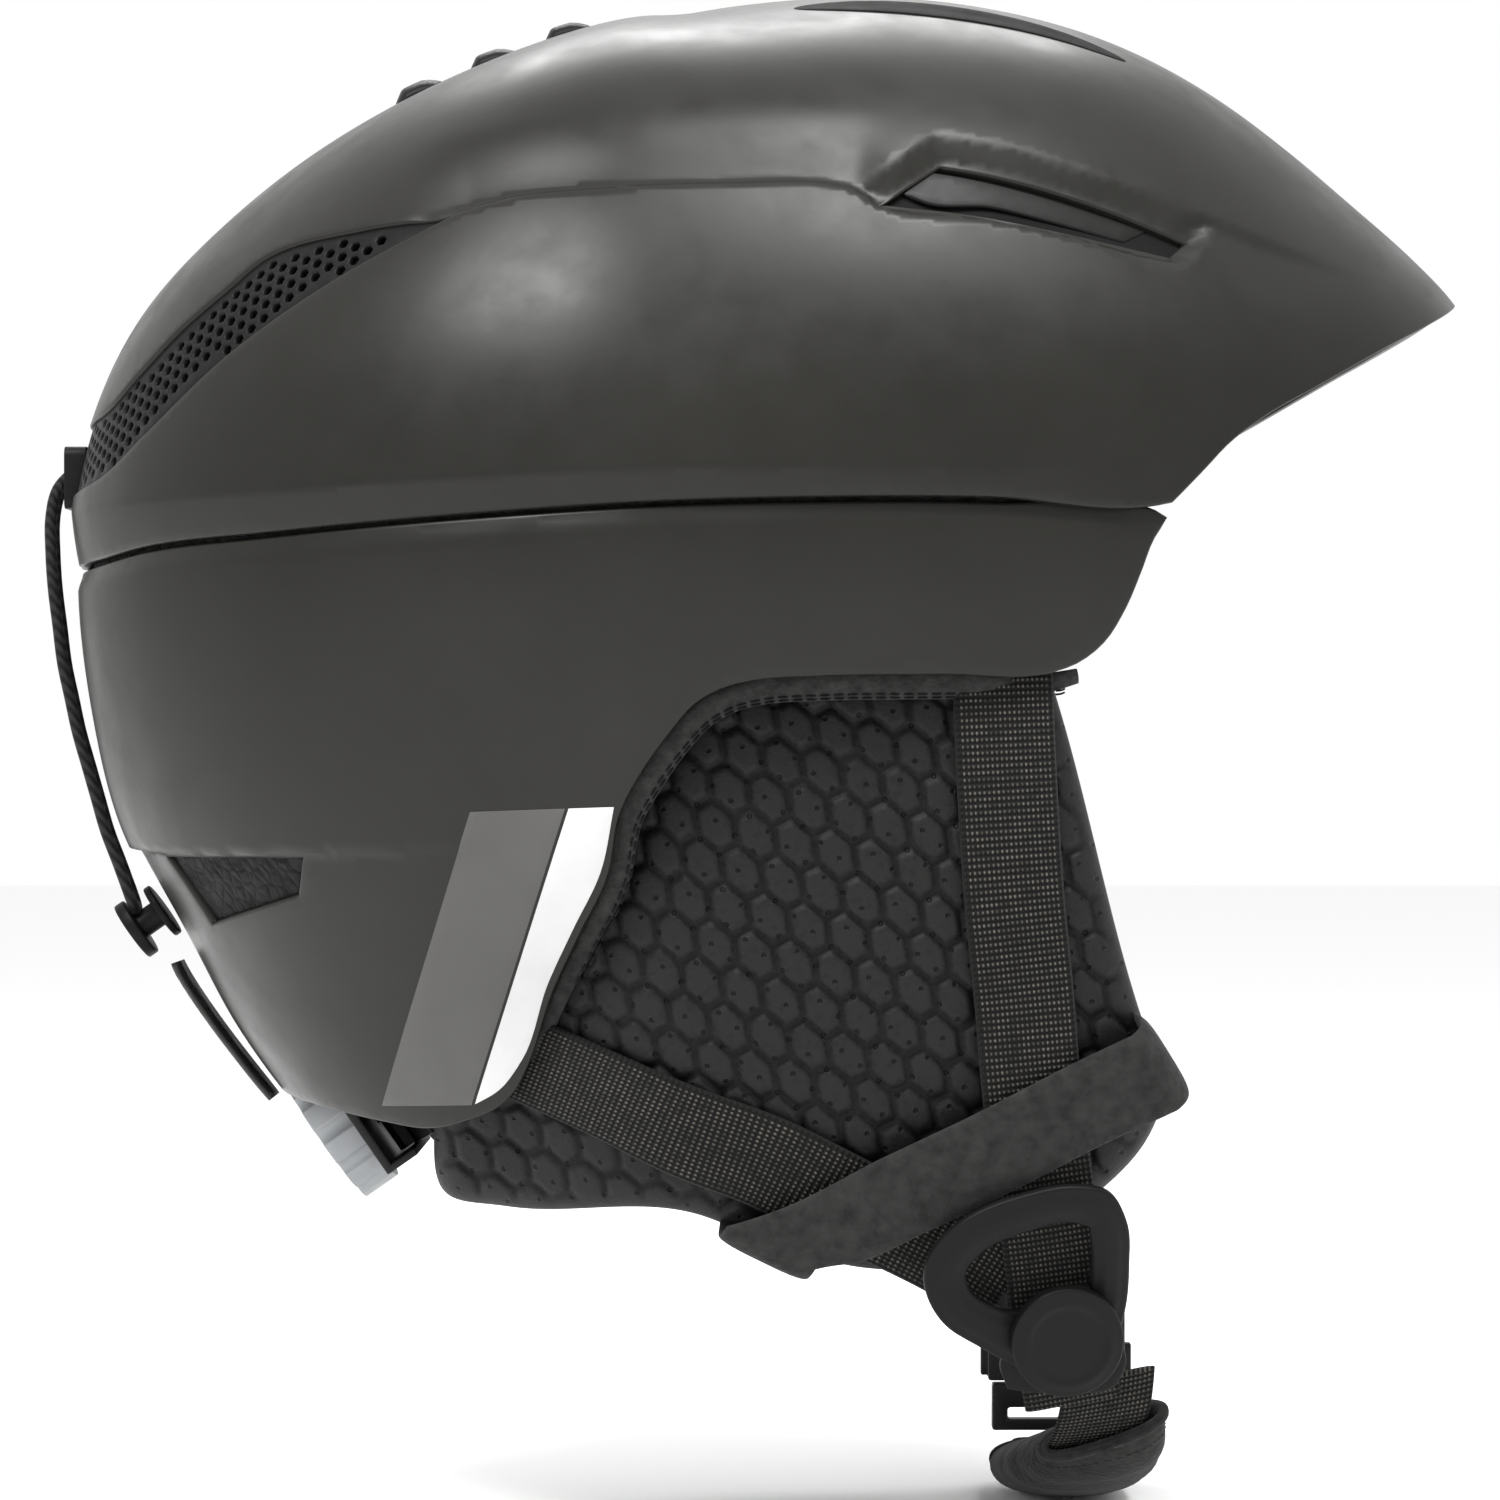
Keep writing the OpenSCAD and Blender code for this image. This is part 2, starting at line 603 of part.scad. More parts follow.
module ear_pad() {
    cuts = 14;
    box = [[-70, 110], [-150, -10]];
    at = function (i, j) [
        (box[0][0] + (box[0][1] - box[0][0]) * i / cuts) * kx,
        (box[1][0] + (box[1][1] - box[1][0]) * j / cuts) * kz
    ];
    row = cuts + 1;
    layer_points = function (sink) [for (j = [0:cuts], i = [0:cuts]) let (p = at(i, j))
        [p[0], pad_y(p[0], p[1]) - sink, p[1]]];
    n = row * row;
    outer = [for (j = [0:cuts - 1], i = [0:cuts - 1]) let (a = j * row + i)
        each [[a, a + 1, a + row + 1], [a, a + row + 1, a + row]]];
    rim = concat(
        [for (i = [0:cuts]) i],
        [for (j = [1:cuts]) j * row + cuts],
        [for (i = [cuts - 1:-1:0]) cuts * row + i],
        [for (j = [cuts - 1:-1:1]) j * row]
    );
    difference() {
        intersection() {
            polyhedron(
            concat(layer_points(0), layer_points(ear_pad_t)),
            concat(
                outer,
                [for (f = outer) [f[0] + n, f[2] + n, f[1] + n]],
                [for (k = [0:len(rim) - 1]) let (a = rim[k], b = rim[(k + 1) % len(rim)])
                    each [[a, b + n, b], [a, a + n, b + n]]]
            ), 10);
            side_cut(EAR_PAD, 0, far);
        }
        stud(part_gap);
    }
}
// Each pad has a tunnel near its back for the end of one fit belt.
module ear_pad_left() soft_color() difference() {
    ear_pad();
    at_dial() rotate(180) belt_path();
}
module ear_pad_right() soft_color() difference() {
    right() ear_pad();
    at_dial() belt_path();
}
// Snap studs on the inner face of the ear pads, sunk into it by stud_sunk.
module stud(grow) {
    for (p = [[-8, -127], [62, -134]])
        translate([p[0] * kx, pad_y(p[0] * kx, p[1] * kz) - ear_pad_t + stud_sunk + grow, p[1] * kz])
            rotate([90, 0, 0]) cylinder(h = 5 + 3 * grow, d = stud_d + 2 * grow);
}
module ear_pad_studs() trim_color() both_sides() stud(0);

// ---------------------------------------------------------------- fit system
// Local frame of the dial: x up along its face, y to the left, z outwards.
module at_dial() {
    translate(dial_at) rotate([0, dial_tilt, 0]) children();
}
// The neck pad fills the space between the inner faces of the two ear pads.
neck_pad_w = 2 * (pad_y(-47 * kx, -116 * kz) - ear_pad_t);
module neck_pad() {
    soft_color() at_dial() difference() {
        translate([-21, 0, -housing_t - 1.4 - 60])
            rotate([0, 90, 0]) cylinder(h = 30, r = 60, $fn = 96);
        translate([-22, 0, -housing_t - 1.4 - 60])
            rotate([0, 90, 0]) cylinder(h = 32, r = 60 - neck_pad_t, $fn = 96);
        both_sides() translate([-25, neck_pad_w / 2, -100]) cube([60, 100, 200]);
        translate([-25, -100, -200 - 30]) cube([60, 200, 200]);
    }
}
module dial_wheel() {
    lobe = PI * dial_d / dial_lobes / 4;
    color([0.65, 0.66, 0.68]) at_dial() difference() {
        cylinder(h = dial_t, r = dial_d / 2);
        for (k = [0:dial_lobes - 1]) rotate(k * 360 / dial_lobes)
            translate([dial_d / 2 + lobe * 0.5, 0, -1]) cylinder(h = dial_t + 2, r = lobe);
        translate([0, 0, -1]) cylinder(h = dial_t - 1, r = shaft_r + 0.02);
    }
}
// One involute flank point of the pinion at radius r.
function flank_angle(r) =
    let (base = pitch_r * cos(20), q = max(r, base), a = acos(base / q)) tan(a) * 180 / PI - a;
module pinion_outline() {
    half = 90 / pinion_teeth - 2.2;
    radii = [pitch_r - 1.1 * tooth_module, pitch_r * cos(20), pitch_r, pitch_r + 0.8 * tooth_module];
    polygon([for (k = [0:pinion_teeth - 1]) let (m = k * 360 / pinion_teeth) each concat(
        [for (r = radii) let (g = m - half - flank_angle(pitch_r) + flank_angle(r))
            r * [cos(g), sin(g)]],
        [for (i = [3:-1:0]) let (r = radii[i],
            g = m + half + flank_angle(pitch_r) - flank_angle(r)) r * [cos(g), sin(g)]]
    )]);
}
module dial_pinion() {
    trim_color() at_dial() {
        translate([0, 0, -belt_depth - 1.8]) linear_extrude(3.6) pinion_outline();
        translate([0, 0, -belt_depth + 1.7]) cylinder(h = belt_depth - 1.7 + dial_t - 2.2, r = shaft_r);
    }
}
// Housing plate that carries the dial, with a bore for its shaft.
module dial_housing() {
    trim_color() at_dial() difference() {
        translate([-housing_h / 2, -housing_w / 2, -housing_t]) cube([housing_h, housing_w, housing_t - 0.4]);
        translate([0, 0, -far]) cylinder(h = 2 * far, r = shaft_r + shaft_clear);
        translate([-housing_h / 2 + 1.5, -far, -housing_t - 1]) cube([housing_h - 3, 2 * far, housing_t - 1.2]);
    }
}
// Cover that closes the housing's inner side, bent like the belts that slide over it.
module dial_cover() {
    trim_color() at_dial()
        arc_bar(belt_r - belt_t / 2 - cover_gap - 1, belt_r - belt_t / 2 - cover_gap,
            -housing_h / 2 + 1.7, housing_h / 2 - 1.7, -cover_angle, cover_angle);
}
// A bar bent to the belts' arc: from r0 to r1, from x0 to x1, and from one angle to another.
module arc_bar(r0, r1, x0, x1, from, to) {
    translate([0, 0, -belt_depth - belt_r]) rotate([0, 90, 0]) rotate([0, 0, 180 + from])
        rotate_extrude(angle = to - from) translate([r0, x0]) square([r1 - r0, x1 - x0]);
}
// A belt bent to an arc, with teeth on the edge that faces the pinion.
module fit_belt() {
    root = 0.55 * tooth_module;
    tip = 1.1 * tooth_module + root;
    arc_bar(belt_r - belt_t / 2, belt_r + belt_t / 2, belt_x, belt_x + belt_h, -belt_tail, belt_reach);
    translate([0, 0, -belt_depth - belt_r])
        for (k = [-rack_teeth:rack_teeth]) rotate([-(k + 0.5) * tooth_angle, 0, 0])
            translate([belt_x + 0.01, 0, belt_r - belt_t / 2])
                linear_extrude(belt_t) polygon([
                    [0, -0.66 * tooth_module], [0, 0.66 * tooth_module],
                    [-tip, 0.2 * tooth_module], [-tip, -0.2 * tooth_module]
                ]);
}
// Space that a belt needs over its travel, where it leaves the housing.
module belt_path() {
    arc_bar(belt_r - belt_t / 2 - part_gap, belt_r + belt_t / 2 + part_gap,
        belt_x - part_gap, belt_x + belt_h + part_gap, belt_reach / 2, belt_reach + 16);
}
module fit_belt_right() trim_color() at_dial() fit_belt();
module fit_belt_left() trim_color() at_dial() rotate(180) fit_belt();
module cradle_yoke() {
    trim_color() at_dial() translate([yoke_foot, -yoke_w / 2, yoke_low]) cube([yoke_l, yoke_w, yoke_t]);
}

// ---------------------------------------------------------------- straps
module front_strap(line) draped(line, webbing_w, webbing_t, strap_lift);
// The left strap ends just above the bar of the buckle that it is sewn round.
module front_strap_left() {
    end = [81.3, (buckle_at[2] + buckle_h + strap_end_gap) / kz];
    trim_color() front_strap(concat([for (i = [0:6]) FRONT_STRAP[i]], [end]));
}
module front_strap_right() trim_color() right() front_strap(FRONT_STRAP);
module rear_strap() trim_color() draped(REAR_STRAP, webbing_w, webbing_t, [0.5, 0.5]);
module rear_strap_left() rear_strap();
module rear_strap_right() right() rear_strap();
module keeper_band() soft_color() draped(KEEPER, keeper_w, keeper_t, [keeper_lift, keeper_lift]);
module keeper_band_left() keeper_band();
module keeper_band_right() right() keeper_band();

// Local frame of the divider: x forwards and z up along its face, y outwards.
divider_x = 75 * kx;
divider_z = -143 * kz;
divider_lean = 26;
divider_turn = -12;
module at_divider(lift) {
    translate([divider_x, pad_y(divider_x, divider_z) + lift, divider_z])
        rotate([-divider_lean, 0, divider_turn]) children();
}
module ring_outline(r) hull() {
    translate([-13, 2]) circle(r, $fn = 32);
    translate([11, 11]) circle(r, $fn = 32);
    translate([5, -13]) circle(r, $fn = 32);
}
module divider() {
    trim_color() at_divider(ring_lift) rotate([90, 0, 0]) translate([0, 0, -divider_t])
        linear_extrude(divider_t) difference() {
            ring_outline(8);
            difference() {
                ring_outline(2.4);
                translate([-30, -40]) square([60, 32]);
            }
        }
}
module divider_left() divider();
module divider_right() right() divider();
module divider_disc() {
    trim_color() at_divider(ring_lift)
        translate([5, divider_t + part_gap, -13]) rotate([-90, 0, 0]) cylinder(h = 3.4, d = disc_d);
}
module divider_disc_left() divider_disc();
module divider_disc_right() right() divider_disc();

// ---------------------------------------------------------------- chin band
function chin_path() = [for (p = finer(CHIN, 3)) [p[0] * ky, p[1] * kz]];
// Flat ring of the chin band, width along x, square to the path.
function chin_ring(p, t, width, thick, sides = 4) =
    let (x = 86 * kx, n = [-t[1], t[0]])
    sides == 4
    ? [for (c = [[-1, -1], [-1, 1], [1, 1], [1, -1]])
        [x + c[0] * width / 2, p[0] + c[1] * n[0] * thick / 2, p[1] + c[1] * n[1] * thick / 2]]
    : [for (j = [0:sides - 1]) let (g = -j * 360 / sides, c = cos(g), s = sin(g))
        [x + c * width / 2, p[0] + s * n[0] * thick / 2, p[1] + s * n[1] * thick / 2]];
module chin_webbing() {
    path = chin_path();
    trim_color() tube([for (i = [0:len(path) - 1])
        chin_ring(path[i], heading(path, i), webbing_w, webbing_t)]);
}
module chin_pad() {
    path = chin_path();
    last = len(path) - 4;
    soft_color() difference() {
        tube([for (i = [3:last]) chin_ring(path[i], heading(path, i), chin_pad_w, chin_pad_t, 16)]);
        tube([for (i = [2:last + 1])
            chin_ring(path[i], heading(path, i), webbing_w + 2, webbing_t + 1.2)]);
    }
}
module at_buckle() translate(buckle_at) children();
module buckle_female() {
    trim_color() at_buckle() difference() {
        translate([-buckle_w / 2, -buckle_t / 2, 0]) cube([buckle_w, buckle_t, buckle_h]);
        translate([-socket_w / 2, -buckle_t / 2 + 1.8, -1])
            cube([socket_w, buckle_t - 3.6, tongue_h + 2]);
        translate([-far, -buckle_t / 2 + 1.8, -1]) cube([2 * far, buckle_t - 3.6, tongue_h - 2]);
        translate([-webbing_w / 2 - 0.6, -far, buckle_h - 4.2])
            cube([webbing_w + 1.2, 2 * far, webbing_t + 1]);
    }
}
module buckle_male() {
    trim_color() at_buckle() {
        translate([-3.5, -tongue_t / 2, -2]) cube([7, tongue_t, tongue_h + 1]);
        difference() {
            translate([-buckle_w / 2 + 1, -3, -11]) cube([buckle_w - 2, 6, 10.2]);
            translate([-webbing_w / 2 - 0.6, -far, -8.6]) cube([webbing_w + 1.2, 2 * far, webbing_t + 1]);
        }
    }
}
// One sprung prong, with the button that stands out of the female half's side.
module buckle_prong() {
    root = socket_w / 2 - prong_w - socket_clear;
    trim_color() at_buckle() {
        translate([root, -tongue_t / 2, -0.5]) cube([prong_w, tongue_t, tongue_h - 1]);
        translate([root + prong_w - 1, -tongue_t / 2, 1])
            cube([buckle_w / 2 + 1.5 - root - prong_w + 1, tongue_t, tongue_h - 6]);
    }
}
module buckle_prong_front() buckle_prong();
module buckle_prong_rear() translate([2 * buckle_at[0], 0, 0]) mirror([1, 0, 0]) buckle_prong();

upper_shell();
lower_shell();
eps_liner();
grille_right();
grille_left();
top_vent_mesh();
top_vent_louvres();
vent_insert_right();
vent_insert_left();
decal_grey();
decal_white();
strap_rivets();
goggle_clip();
retainer_cord();
retainer_hook();
retainer_tab();
crown_pad();
brow_pad();
side_pad_right();
side_pad_left();
ear_pad_right();
ear_pad_left();
ear_pad_studs();
neck_pad();
front_strap_right();
front_strap_left();
rear_strap_right();
rear_strap_left();
keeper_band_right();
keeper_band_left();
divider_right();
divider_left();
divider_disc_right();
divider_disc_left();
buckle_female();
chin_webbing();
chin_pad();
buckle_male();
buckle_prong_front();
buckle_prong_rear();
dial_wheel();
dial_pinion();
dial_housing();
dial_cover();
fit_belt_right();
fit_belt_left();
cradle_yoke();
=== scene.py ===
"""Looks of the ski helmet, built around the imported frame. Lengths are in millimetres until a mesh is made."""
import math
import bmesh
import bpy
import numpy as np
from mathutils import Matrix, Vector
from mathutils.geometry import delaunay_2d_cdt


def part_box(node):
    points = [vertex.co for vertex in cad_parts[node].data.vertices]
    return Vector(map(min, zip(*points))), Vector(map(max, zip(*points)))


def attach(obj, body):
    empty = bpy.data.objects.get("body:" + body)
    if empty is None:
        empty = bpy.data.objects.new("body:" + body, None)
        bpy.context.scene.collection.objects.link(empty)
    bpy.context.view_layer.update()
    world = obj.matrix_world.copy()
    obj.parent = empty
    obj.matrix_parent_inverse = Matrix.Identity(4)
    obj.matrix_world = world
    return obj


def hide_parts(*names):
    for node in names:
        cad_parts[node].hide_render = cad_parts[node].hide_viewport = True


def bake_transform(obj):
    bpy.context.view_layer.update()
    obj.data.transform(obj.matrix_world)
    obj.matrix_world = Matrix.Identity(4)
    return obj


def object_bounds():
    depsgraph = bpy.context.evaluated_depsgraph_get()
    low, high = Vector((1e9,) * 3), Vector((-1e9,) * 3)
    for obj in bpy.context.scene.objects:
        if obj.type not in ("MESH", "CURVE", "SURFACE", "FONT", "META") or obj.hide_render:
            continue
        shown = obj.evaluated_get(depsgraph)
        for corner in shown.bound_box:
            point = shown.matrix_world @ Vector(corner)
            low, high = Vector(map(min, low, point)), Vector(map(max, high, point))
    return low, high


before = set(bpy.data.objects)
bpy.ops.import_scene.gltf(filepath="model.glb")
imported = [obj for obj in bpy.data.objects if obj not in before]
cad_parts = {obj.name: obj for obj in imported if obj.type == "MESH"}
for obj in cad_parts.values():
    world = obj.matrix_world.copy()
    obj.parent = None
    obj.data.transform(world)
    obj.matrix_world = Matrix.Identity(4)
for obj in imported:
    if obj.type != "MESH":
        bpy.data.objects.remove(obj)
cad_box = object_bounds()
MM = 0.001
UV_NAME = "strap"

# ------------------------------------------------------------------ surfaces of the helmet
# Radius of the shell in its middle plane, against the angle from the visor over the crown.
PROFILE = [
    [-90, 150], [-70, 156], [-50, 165], [-30, 171], [-10, 174], [5, 176], [17, 175.5],
    [22, 169], [27, 162.5], [32, 157.5], [41, 150], [50, 142.5], [58, 135], [67, 127.5],
    [76, 120.5], [86, 115], [97, 110.5], [108, 108.5], [120, 109], [133, 111.5],
    [143, 114.5], [156, 120], [165, 122], [176, 123.5], [197, 125.5], [207, 128.5],
    [221, 130], [228, 134], [240, 142], [270, 150]]
FLANK = [
    [-90, 150], [-60, 137], [-56, 131.5], [-50, 124], [-42, 119], [-34, 116],
    [-24, 112.4], [-10, 109.3], [0, 110], [10, 110.8], [30, 112.4], [46, 114.8],
    [60, 115.8], [75, 114.2], [90, 113]]
CAVITY_PROFILE = [
    [-90, 300], [-60, 190], [-35, 124], [0, 101], [45, 97], [90, 92], [135, 97],
    [180, 101], [205, 104], [225, 110], [235, 119], [245, 150], [270, 300]]
CAVITY_FLANK = [[-90, 300], [-65, 178], [-50, 118], [-30, 94], [0, 82], [45, 86], [90, 92]]

SHELL_WALL = 2.6
LOWER_INSET = 2.2
FOAM_DEPTH = 5.4
BELT_GAP = 2.4
MIDDLE = 90  # degrees from the side axis to the middle plane
RIM_END = 89.9  # flat points beyond this count as lying on the middle plane
ON_MIDDLE = 0.25  # points this close to the middle plane are put on it, so that both halves weld
FAR_OUT = 200.0  # a distance outside every surface
HALVINGS = 36

# Side-view outlines, as [x, z].
BELT = [
    [-140, -2], [-117, -0.7], [-106, 1.3], [-78, 3.5], [-52, 5.5], [-29, 7.1], [1, 8.9],
    [32, 9.8], [67, 9.9], [99, 8.5]]
VISOR_RIM = [
    [99, 8.5], [101.5, 9], [108, 15.6], [113, 20.8], [120.5, 26.4], [132, 33], [146, 41],
    [157.5, 47.3], [162, 50], [172, 58]]
LOWER_RIM = [
    [99, 8.5 - BELT_GAP], [100.2, 5.5], [97.7, 1.8], [95, -5], [92, -12], [87.6, -18.8], [82.7, -22.5],
    [77.6, -24.3], [57, -24.6], [32, -25], [20, -25.8], [13.7, -27.3], [8, -30.4],
    [2.7, -36.4], [-3, -44.4], [-7, -52], [-9.6, -64.7], [-15.4, -76.6], [-20.5, -87.4],
    [-26, -103], [-28, -107], [-31.8, -111], [-37.4, -113.6], [-45, -115.8],
    [-56.3, -114.8], [-67.4, -113], [-79, -111], [-140, -111]]
REAR_WINDOW = [[-102.6, -62.5], [-70.7, -62], [-72, -70.6], [-92, -77]]
GRILLE = [
    [-38.4, 65.4], [-63, 52.6], [-85.8, 37.6], [-103, 23], [-112.8, 15.4], [-124, 12],
    [-124, 26], [-113, 30], [-105.6, 36.6], [-96.3, 45.2], [-86.9, 52.5], [-79, 58.7],
    [-58.4, 63.5]]
SIDE_VENT = [
    [57.5, 77.3], [44.4, 68.1], [65.5, 65.8], [81.4, 62.9], [104.2, 58.2], [108.5, 62],
    [93.8, 68], [78.4, 73], [65.8, 76]]
EAR_PAD = [
    [76, -18], [78.6, -26], [96.7, -92], [102, -107], [98.4, -118], [90.5, -127],
    [72, -138], [53.6, -144], [43.7, -144], [21, -138], [9, -133], [-31, -133],
    [-44, -131], [-46, -116], [-43, -101], [-36, -99.5], [-29, -88], [-18, -62],
    [-10.5, -42], [-1, -27], [11, -18.5]]
DECAL_GREY = [[-36.3, -53], [-17.4, -52.3], [-37.4, -112.6], [-56.3, -113.5]]
DECAL_WHITE = [
    [-16.6, -52.3], [-7.7, -52], [-10.4, -64.7], [-16.2, -76.6], [-21.3, -87.4],
    [-26.8, -103], [-31.8, -109.5], [-36.6, -112.4]]


def hermite(table, at):
    """The smooth curve that part.scad draws through a table of points."""
    t = np.array(table, float)
    x, y = t[:, 0], t[:, 1]
    h = np.diff(x)
    d = np.diff(y) / h
    m = np.concatenate([[d[0]], (d[:-1] * h[1:] + d[1:] * h[:-1]) / (h[:-1] + h[1:]), [d[-1]]])
    i = np.clip(np.searchsorted(x, at) - 1, 0, len(h) - 1)
    u = (at - x[i]) / h[i]
    v, w = u * u, u * u * u
    return ((2 * w - 3 * v + 1) * y[i] + (w - 2 * v + u) * h[i] * m[i]
            + (3 * v - 2 * w) * y[i + 1] + (w - v) * h[i] * m[i + 1])


def ease(t):
    """Smooth step from 0 to 1."""
    u = np.clip(t, 0.0, 1.0)
    return u * u * (3 - 2 * u)


def blurred(table, wide, crisp=None):
    """A table's curve at quarter degrees, evened out except inside the crisp range of angles."""
    at = np.arange(table[0][0], table[-1][0] + 0.01, 0.25)
    raw = hermite(table, at)

    def soften(sigma):
        k = np.arange(-int(3 * sigma / 0.25), int(3 * sigma / 0.25) + 1)
        g = np.exp(-0.5 * (k * 0.25 / sigma) ** 2)
        ends = np.pad(raw, len(k) // 2, mode="edge")
        return np.convolve(ends, g / g.sum(), mode="valid")

    out = soften(wide)
    if crisp:
        share = ease((at - crisp[0]) / 10 + 1) * (1 - ease((at - crisp[1]) / 10))
        out = out * (1 - share) + soften(1.2) * share
    return lambda angle: np.interp(angle, at, out)


class Egg:
    """A closed surface given by its radius in the middle plane and to the side."""

    def __init__(self, profile, flank, wide=3.5, crisp=None):
        self.profile = blurred(profile, wide, crisp)
        self.flank = blurred(flank, wide)

    def reach(self, d):
        flat = np.hypot(d[:, 0], d[:, 1])
        up = np.degrees(np.arctan2(d[:, 2], flat))
        pole = flat < 1e-6
        c = np.where(pole, 1.0, d[:, 0] / np.maximum(flat, 1e-6))
        s = np.where(pole, 0.0, d[:, 1] / np.maximum(flat, 1e-6))
        end = np.where(c > 0, self.profile(up), self.profile(180 - up))
        side = self.flank(up)
        return 1 / np.sqrt((c / end) ** 2 + (s / side) ** 2)

    def lift(self, flat_points, depth=0.0, bump=None):
        """Points of the surface, sunk by depth, from degrees round and away from the side axis."""
        d = direction(flat_points)
        r = self.reach(d)
        if bump is not None:
            r = r + bump(d * r[:, None])
        return d * (r - depth)[:, None]

    def settle(self, x, z, depth=0.0):
        """The reverse of lift: the flat point that lies at x and z in side view."""
        x, z = np.asarray(x, float), np.asarray(z, float)
        low, high = np.zeros(len(x)), np.full(len(x), FAR_OUT)
        for _ in range(HALVINGS):
            y = (low + high) / 2
            p = np.stack([x, y, z], 1)
            n = np.linalg.norm(p, axis=1)
            inside = n < self.reach(p / n[:, None]) - depth
            low, high = np.where(inside, y, low), np.where(inside, high, y)
        y = (low + high) / 2
        y[y < 0.02] = 0
        n = np.sqrt(x * x + y * y + z * z)
        g = np.degrees(np.arccos(y / n))
        a = np.arctan2(z, x)
        return np.stack([g * np.cos(a), g * np.sin(a)], 1)

    def top(self, x, y):
        """Height of the surface over x and y."""
        low, high = np.zeros(len(x)), np.full(len(x), FAR_OUT)
        for _ in range(HALVINGS):
            z = (low + high) / 2
            p = np.stack([x, y, z], 1)
            n = np.linalg.norm(p, axis=1)
            inside = n < self.reach(p / n[:, None])
            low, high = np.where(inside, z, low), np.where(inside, high, z)
        return z


def unit_rows(v):
    return v / np.linalg.norm(v, axis=1)[:, None]


def direction(flat_points):
    """Directions from the origin for flat points."""
    g = np.radians(np.hypot(flat_points[:, 0], flat_points[:, 1]))
    a = np.arctan2(flat_points[:, 1], flat_points[:, 0])
    return np.stack([np.sin(g) * np.cos(a), np.cos(g), np.sin(g) * np.sin(a)], 1)


def flat_of(p):
    """The reverse of direction: the flat points under points in space."""
    d = unit_rows(p)
    g, a = np.degrees(np.arccos(np.clip(d[:, 1], -1, 1))), np.arctan2(d[:, 2], d[:, 0])
    return np.stack([g * np.cos(a), g * np.sin(a)], 1)


SHELL = Egg(PROFILE, FLANK, crisp=(14, 34))
CAVITY = Egg(CAVITY_PROFILE, CAVITY_FLANK, wide=5)


def pad_y(x, z):
    """Outer surface of the ear pads, as part.scad draws it: a distance from the middle plane."""
    return (95 - 0.0026 * (z + 50) ** 2 - 0.003 * np.maximum(x - 40, 0) ** 2
            - 0.425 * (np.sqrt(x * x + 196) - x))


def on_pad(xz):
    """Points of the left ear pad's outer surface at x and z in side view."""
    return np.stack([xz[:, 0], pad_y(xz[:, 0], xz[:, 1]), xz[:, 1]], 1)


# ------------------------------------------------------------------ outlines and triangulation
def curve(points, closed=False, corner=34, step=0.4):
    """A smooth line through points, as runs of close points between its corners."""
    p = np.array(points, float)
    n = len(p)
    count = n if closed else n - 1
    along = [p[(i + 1) % n] - p[i] for i in range(count)]

    def is_corner(i):
        if not closed and i in (0, n - 1):
            return True
        a, b = along[(i - 1) % count], along[i % count]
        cos = a @ b / np.linalg.norm(a) / np.linalg.norm(b)
        return math.degrees(math.acos(max(-1, min(1, cos)))) > corner

    def tangent(i, seg):
        if is_corner(i):
            return along[seg]
        a, b = along[(i - 1) % count], along[i % count]
        la, lb = np.linalg.norm(a), np.linalg.norm(b)
        t = (a / la * lb + b / lb * la) / (la + lb)
        return t * np.linalg.norm(along[seg])

    runs, now = [], []
    for i in range(count):
        a, b = p[i], p[(i + 1) % n]
        ta, tb = tangent(i, i), tangent((i + 1) % n, i)
        cuts = max(2, int(np.linalg.norm(b - a) / step))
        u = np.linspace(0, 1, cuts + 1)[:-1, None]
        v, w = u * u, u * u * u
        now.append((2 * w - 3 * v + 1) * a + (w - 2 * v + u) * ta + (3 * v - 2 * w) * b + (w - v) * tb)
        if is_corner((i + 1) % n) or i == count - 1:
            runs.append(np.vstack(now + [b[None]]))
            now = []
    return runs


def even(line, spacing):
    """A line of points at even spacing, its last point left out."""
    length = np.concatenate([[0], np.cumsum(np.linalg.norm(np.diff(line, axis=0), axis=1))])
    n = max(1, int(round(length[-1] / spacing)))
    at = np.linspace(0, length[-1], n + 1)[:-1]
    return np.stack([np.interp(at, length, line[:, k]) for k in range(line.shape[1])], 1)


def inside(points, loop):
    """Which points lie inside a closed loop."""
    x, y = points[:, 0], points[:, 1]
    odd = np.zeros(len(points), bool)
    for (x0, y0), (x1, y1) in zip(loop, np.roll(loop, -1, axis=0)):
        if y0 == y1:
            continue
        cross = (y0 > y) != (y1 > y)
        odd ^= cross & (x < (x1 - x0) * (y - y0) / (y1 - y0) + x0)
    return odd


def gap_to(points, lines):
    """Distance from each point to the nearest of the line points."""
    targets = np.vstack(lines)
    out = np.empty(len(points))
    for i in range(0, len(points), 2000):
        part = points[i:i + 2000, None, :] - targets[None]
        out[i:i + 2000] = np.sqrt((part ** 2).sum(2).min(1))
    return out


def reach_of(points, line):
    """Distance from each point to a polyline, through its segments."""
    best = np.full(len(points), 1e9)
    for a, b in zip(line[:-1], line[1:]):
        ab = b - a
        t = np.clip(((points - a) @ ab) / max(ab @ ab, 1e-12), 0, 1)
        best = np.minimum(best, np.linalg.norm(points - (a + t[:, None] * ab), axis=1))
    return best


def within(points, loops):
    """Which points lie inside the first loop and outside the others."""
    keep = inside(points, loops[0])
    for hole in loops[1:]:
        keep &= ~inside(points, hole)
    return keep


